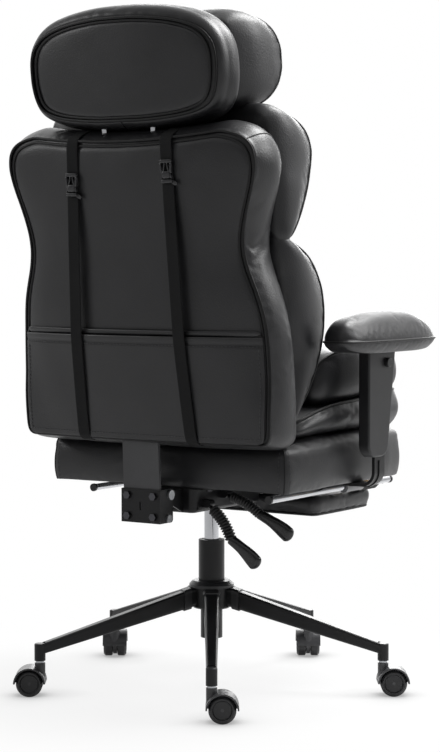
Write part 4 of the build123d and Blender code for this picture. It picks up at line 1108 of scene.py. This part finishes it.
@dataclass
class ArmPad(Cushion):
    """An arm's padded top: a half ellipse along and across, with a blunt rear end."""

    def dome(self, share: Array, out: Array) -> Array:
        """Share of the crown: an ellipse that is longer than the pad at its rear, where a steep end closes it.

        Args:
            share: share of the way from the middle to the edge, one per ring.
            out: directions out of the outline, one per place round it.

        Returns:
            One value per ring and place.
        """
        blunt = np.clip(out[:, 1], 0, 1)[None, :] ** 2
        arch = np.clip(1 - ((1 - 0.2 * blunt) * share[:, None]) ** 2.4, 0, 1) ** 0.6
        return arch * np.clip(1 - share[:, None] ** 16, 0, 1) ** (0.5 * blunt)


@dataclass
class Armrests:
    """Padded arm tops on both sides: a long dome over a low welt, on a band that draws in to the post."""

    centre: float = 316
    half: float = 46
    front: float = -272
    rear: float = 76
    low: float = 648
    welt: float = 670
    rise: float = 56
    square: float = 3.2
    end_lift: float = 13

    def build(self) -> None:
        """Makes both pads."""
        middle, reach = (self.front + self.rear) / 2, (self.rear - self.front) / 2
        turn = np.linspace(0, 2 * np.pi, 241)[:-1]
        plan = np.stack([self.half * soft(np.cos(turn), 2 / self.square),
                         middle + reach * soft(np.sin(turn), 2 / self.square)], axis=1)
        for side, word in SIDES:
            outline = even_loop(plan + [side * self.centre, 0], 240, 3)
            ArmPad(f"arm_pad_{word}_cover", f"arm_{word}", (f"arm_pad_{word}",), outline, set_level,
                   constant(self.welt), lambda x, y: self.low + self.end_lift * np.abs((y - middle) / reach) ** 5,
                   crown=self.rise, inset=1, roll=1, swell=0, tuck=11, tuck_power=1.8, groove=2, seed=50 + side,
                   pucker=0.4, slack=0.001, welt_radius=2.5).build()


@dataclass
class Footrest:
    """Footrest pad, its padded side down when it is put away."""

    half: float = 178
    front: float = -310
    rear: float = -95
    thick: float = 34

    def build(self) -> None:
        """Makes the pad."""
        ends = ((0, 10), (10, 2), (60, 0))
        plan = mirrored([(self.rear - y, self.half - x) for y, x in ends]
                        + [(self.front + y, self.half - x) for y, x in ends[::-1]])
        Cushion("footrest_cover", "footrest", ("footrest_pad",), even_loop(plan, 280, 6), set_hanging,
                constant(self.thick), constant(0), crown=6, inset=5, roll=6, swell=3, tuck=2, seed=61,
                uneven=0.7).build()


@dataclass
class Levers:
    """Ribbed flexible covers and moulded paddle handles of the two levers."""

    valley: float = 8
    ribs: int = 12
    pivot_x: float = -70
    neck: float = 12
    blunt_from: float = 0.86

    def route(self, pivot_z: float, bend: float, end: tuple[float, float], place: Array) -> Array:
        """Middle line of a cover in X and Z: a chord with a parabola's rise on it.

        Args:
            pivot_z: height of the lever's pivot.
            bend: rise of the parabola.
            end: X and Z of the cover's end.
            place: shares of the way along it.

        Returns:
            One row per share.
        """
        pivot, tip = np.array([self.pivot_x, pivot_z]), np.array(end)
        along = (tip - pivot) / np.linalg.norm(tip - pivot)
        neck = pivot + self.neck * along
        return neck + place[:, None] * (tip - neck) + (4 * bend * place * (1 - place))[:, None] * [-along[1], along[0]]

    def build(self) -> None:
        """Makes covers and handles."""
        place = np.linspace(0, 1, self.ribs * 10 + 1)
        # The radius follows rounded ribs: a raised cosine, one wave per rib
        rib = (0.5 - 0.5 * np.cos(2 * np.pi * self.ribs * place)) ** 0.7
        # The handle runs on a parabola through a bow point, droops and widens to a blunt paddle
        blunt = 1 - self.blunt_from
        part = np.concatenate([np.linspace(0, self.blunt_from, 40),
                               self.blunt_from + blunt * np.sin(np.linspace(0, np.pi / 2, 16)[1:])])
        close = np.sqrt(np.clip(1 - np.clip((part - self.blunt_from) / blunt, 0, 1) ** 2, 0.0004, 1))
        wide = ((0, 9.5), (0.12, 9.8), (0.3, 10.4), (0.55, 12.8), (0.75, 14.6), (0.88, 14.8), (1, 13.8))
        thick = ((0, 9.0), (0.12, 8.6), (0.3, 7.4), (0.6, 6.6), (1, 6.0))
        wide, thick = (table(rows, 1)(part) * close for rows in (wide, thick))
        square = np.interp(part, (0, 0.2, 0.5, 1), (2.0, 2.4, 3.0, 3.2))
        for name, y, pivot_z, bend, end, crest, bow, tip in (
                ("recline", 112.0, 366.0, -5.0, (-118.0, 302.0), 11.4, (-34.0, -19.0), (-60.0, -46.0)),
                ("height", 54.0, 379.0, -4.0, (-144.0, 345.0), 10.2, (-40.0, -16.0), (-70.0, -40.0))):
            line = self.route(pivot_z, bend, end, place)
            spine = line[-1] + (2 * part * (1 - part))[:, None] * np.array(bow) + (part ** 2)[:, None] * np.array(tip)
            radius = self.valley + (crest - self.valley) * rib
            path, grip_path = (np.insert(run, 1, y, axis=1) for run in (line, spine))
            bellows = carry(path, (0, 1, 0), radius, radius)
            cover = add_piece(f"{name}_lever_bellows", *bellows, RUBBER, f"{name}_lever")
            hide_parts(f"{name}_lever_cover")
            handle = carry(grip_path, (0, 1, 0), thick, wide, square)
            grip = add_piece(f"{name}_lever_paddle", *handle, GLOSS, f"{name}_lever")
            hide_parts(f"{name}_lever_handle")


@dataclass
class Studio:
    """Pale floor, soft lamps and the camera at the photograph's place."""

    eye: tuple[float, float, float] = (-2.2523, 3.3837, 0.8270)
    heading: tuple[float, float] = (0.5508, -0.8347)
    tilt: float = 3.243
    lens: float = 101.49
    sensor: float = 36
    floor_reach: float = 30.0
    aim: tuple[float, float, float] = (0, 0, 0.65)

    def build(self) -> None:
        """Makes the camera, the floor, the world and the lamps."""
        scene = bpy.context.scene
        scene.view_settings.view_transform = "Standard"
        data = bpy.data.cameras.new("camera")
        data.sensor_fit, data.sensor_width, data.lens = "AUTO", self.sensor, self.lens
        down = math.radians(self.tilt)
        look = Vector((self.heading[0] * math.cos(down), self.heading[1] * math.cos(down), -math.sin(down)))
        scene.camera = self.stand("camera", data, self.eye, look)
        self.floor()
        self.world()
        self.lamp("key", (2.9, 2.3, 2.2), 0.8, 25)
        self.lamp("top", (-0.8, -1.1, 2.8), 1.2, 80)
        self.lamp("side", (-2.4, -1.8, 2.3), 1.3, 42)
        self.lamp("front", (1.2, -3.4, 1.9), 2.4, 100)

    def stand(self, name: str, data: bpy.types.ID, place: tuple[float, float, float],
              look: Vector) -> bpy.types.Object:
        """Stands a camera or lamp at its place.

        Args:
            name: name of the object.
            data: the camera or lamp.
            place: where it stands, in metres.
            look: direction that it looks in.

        Returns:
            The new object.
        """
        made = bpy.data.objects.new(name, data)
        made.location = place
        made.rotation_mode = "QUATERNION"
        made.rotation_quaternion = look.to_track_quat("-Z", "Y")
        bpy.context.scene.collection.objects.link(made)
        return made

    def floor(self) -> None:
        """A wide pale floor that is white to the camera where it is open and keeps the chair's shadow."""
        far = self.floor_reach
        mesh = bpy.data.meshes.new("floor")
        mesh.from_pydata([(-far, -far, 0), (far, -far, 0), (far, far, 0), (-far, far, 0)], [], [(0, 1, 2, 3)])
        made = bpy.data.materials.new("matt_paper_floor")
        tree = Tree(made)
        place = tree.add("TexCoord").outputs["Object"]
        tint = tree.blend(tree.noise(place, 6.0, 3.0), "f1f1f1", "f5f5f5")
        paper = tree.add("BsdfDiffuse", links={"Color": tint})
        # Close under the wheels the paper darkens, as a soft contact shadow
        near = tree.add("AmbientOcclusion", {"Distance": 0.1}, samples=12)
        lit = tree.ramp(near.outputs["AO"], 0.35, 0.95, 0.45, 1.0)
        glow = tree.add("Emission", {"Color": (1, 1, 1, 1)}, {"Strength": lit})
        # The floor is white to the camera and half as bright in the chair's gloss
        ray = tree.add("LightPath").outputs
        clear = tree.calc("MAXIMUM", ray["Is Camera Ray"], ray["Is Transmission Ray"])
        seen = tree.calc("MAXIMUM", clear, tree.calc("MULTIPLY", ray["Is Glossy Ray"], 0.5))
        # Open floor fades to plain white with its distance from the chair, so that no horizon shows
        out = tree.add("VectorMath", {1: (0, 0, 0)}, {0: place}, operation="DISTANCE").outputs["Value"]
        fade = tree.ramp(out, 0.3, 0.8, 0.86, 1.0, interpolation_type="SMOOTHSTEP")
        both = tree.add("MixShader", links={0: tree.calc("MULTIPLY", seen, fade), 1: paper.outputs[0],
                                            2: glow.outputs[0]})
        tree.add("OutputMaterial", links={"Surface": both.outputs[0]})
        mesh.materials.append(made)
        floor = bpy.data.objects.new("floor", mesh)
        bpy.context.scene.collection.objects.link(floor)

    def world(self) -> None:
        """An even surround that is white to the camera and dimmer as light."""
        world = bpy.data.worlds.new("studio")
        bpy.context.scene.world = world
        tree = Tree(world)
        ray = tree.add("LightPath").outputs
        seen = tree.calc("MAXIMUM", ray["Is Camera Ray"], ray["Is Transmission Ray"])
        way = tree.add("TexCoord").outputs["Generated"]
        # Reflections see walls that are dim at the sides of the camera and white behind the chair and overhead
        high = tree.ramp(tree.add("SeparateXYZ", links={0: way}).outputs["Z"], 0.05, 0.9, 0.07, 0.9)
        ahead = tree.add("VectorMath", {1: (*self.heading, 0.0)}, {0: way}, operation="DOT_PRODUCT").outputs["Value"]
        wall = tree.ramp(ahead, 0.2, 0.95, 0.0, 1.6)
        shown = tree.calc("MULTIPLY", tree.calc("ADD", high, wall), ray["Is Glossy Ray"])
        level = tree.add("Mix", {3: 1.0}, {0: seen, 2: tree.calc("MAXIMUM", shown, 0.12)}, data_type="FLOAT")
        back = tree.add("Background", {"Color": (1, 1, 1, 1)}, {"Strength": level.outputs[0]})
        tree.add("OutputWorld", links={"Surface": back.outputs[0]})

    def lamp(self, name: str, place: tuple[float, float, float], size: float, power: float) -> None:
        """Adds one soft square lamp that looks at the middle of the chair.

        Args:
            name: name of the lamp.
            place: where it stands, in metres.
            size: side of the lamp, in metres.
            power: its power in watts.
        """
        data = bpy.data.lights.new(name, "AREA")
        data.shape, data.size, data.energy = "SQUARE", size, power
        self.stand(name, data, place, Vector(self.aim) - Vector(place))


def dress_nodes() -> None:
    """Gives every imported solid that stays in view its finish."""
    for finish, names in NODE_FINISHES.items():
        for name in names:
            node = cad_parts[name]
            node.data.materials.clear()
            node.data.materials.append(finish.material())
            log.info("%s: %s", name, finish.name)


def main() -> None:
    """Builds the classes in order."""
    logging.basicConfig(level=logging.INFO, format="%(name)s %(message)s")
    dress_nodes()
    for part in (Backrest(), Headrest(), Seat(), Armrests(), Footrest(), Levers(), Studio()):
        part.build()
        log.info("built %s", type(part).__name__)


if __name__ == "__main__":
    main()
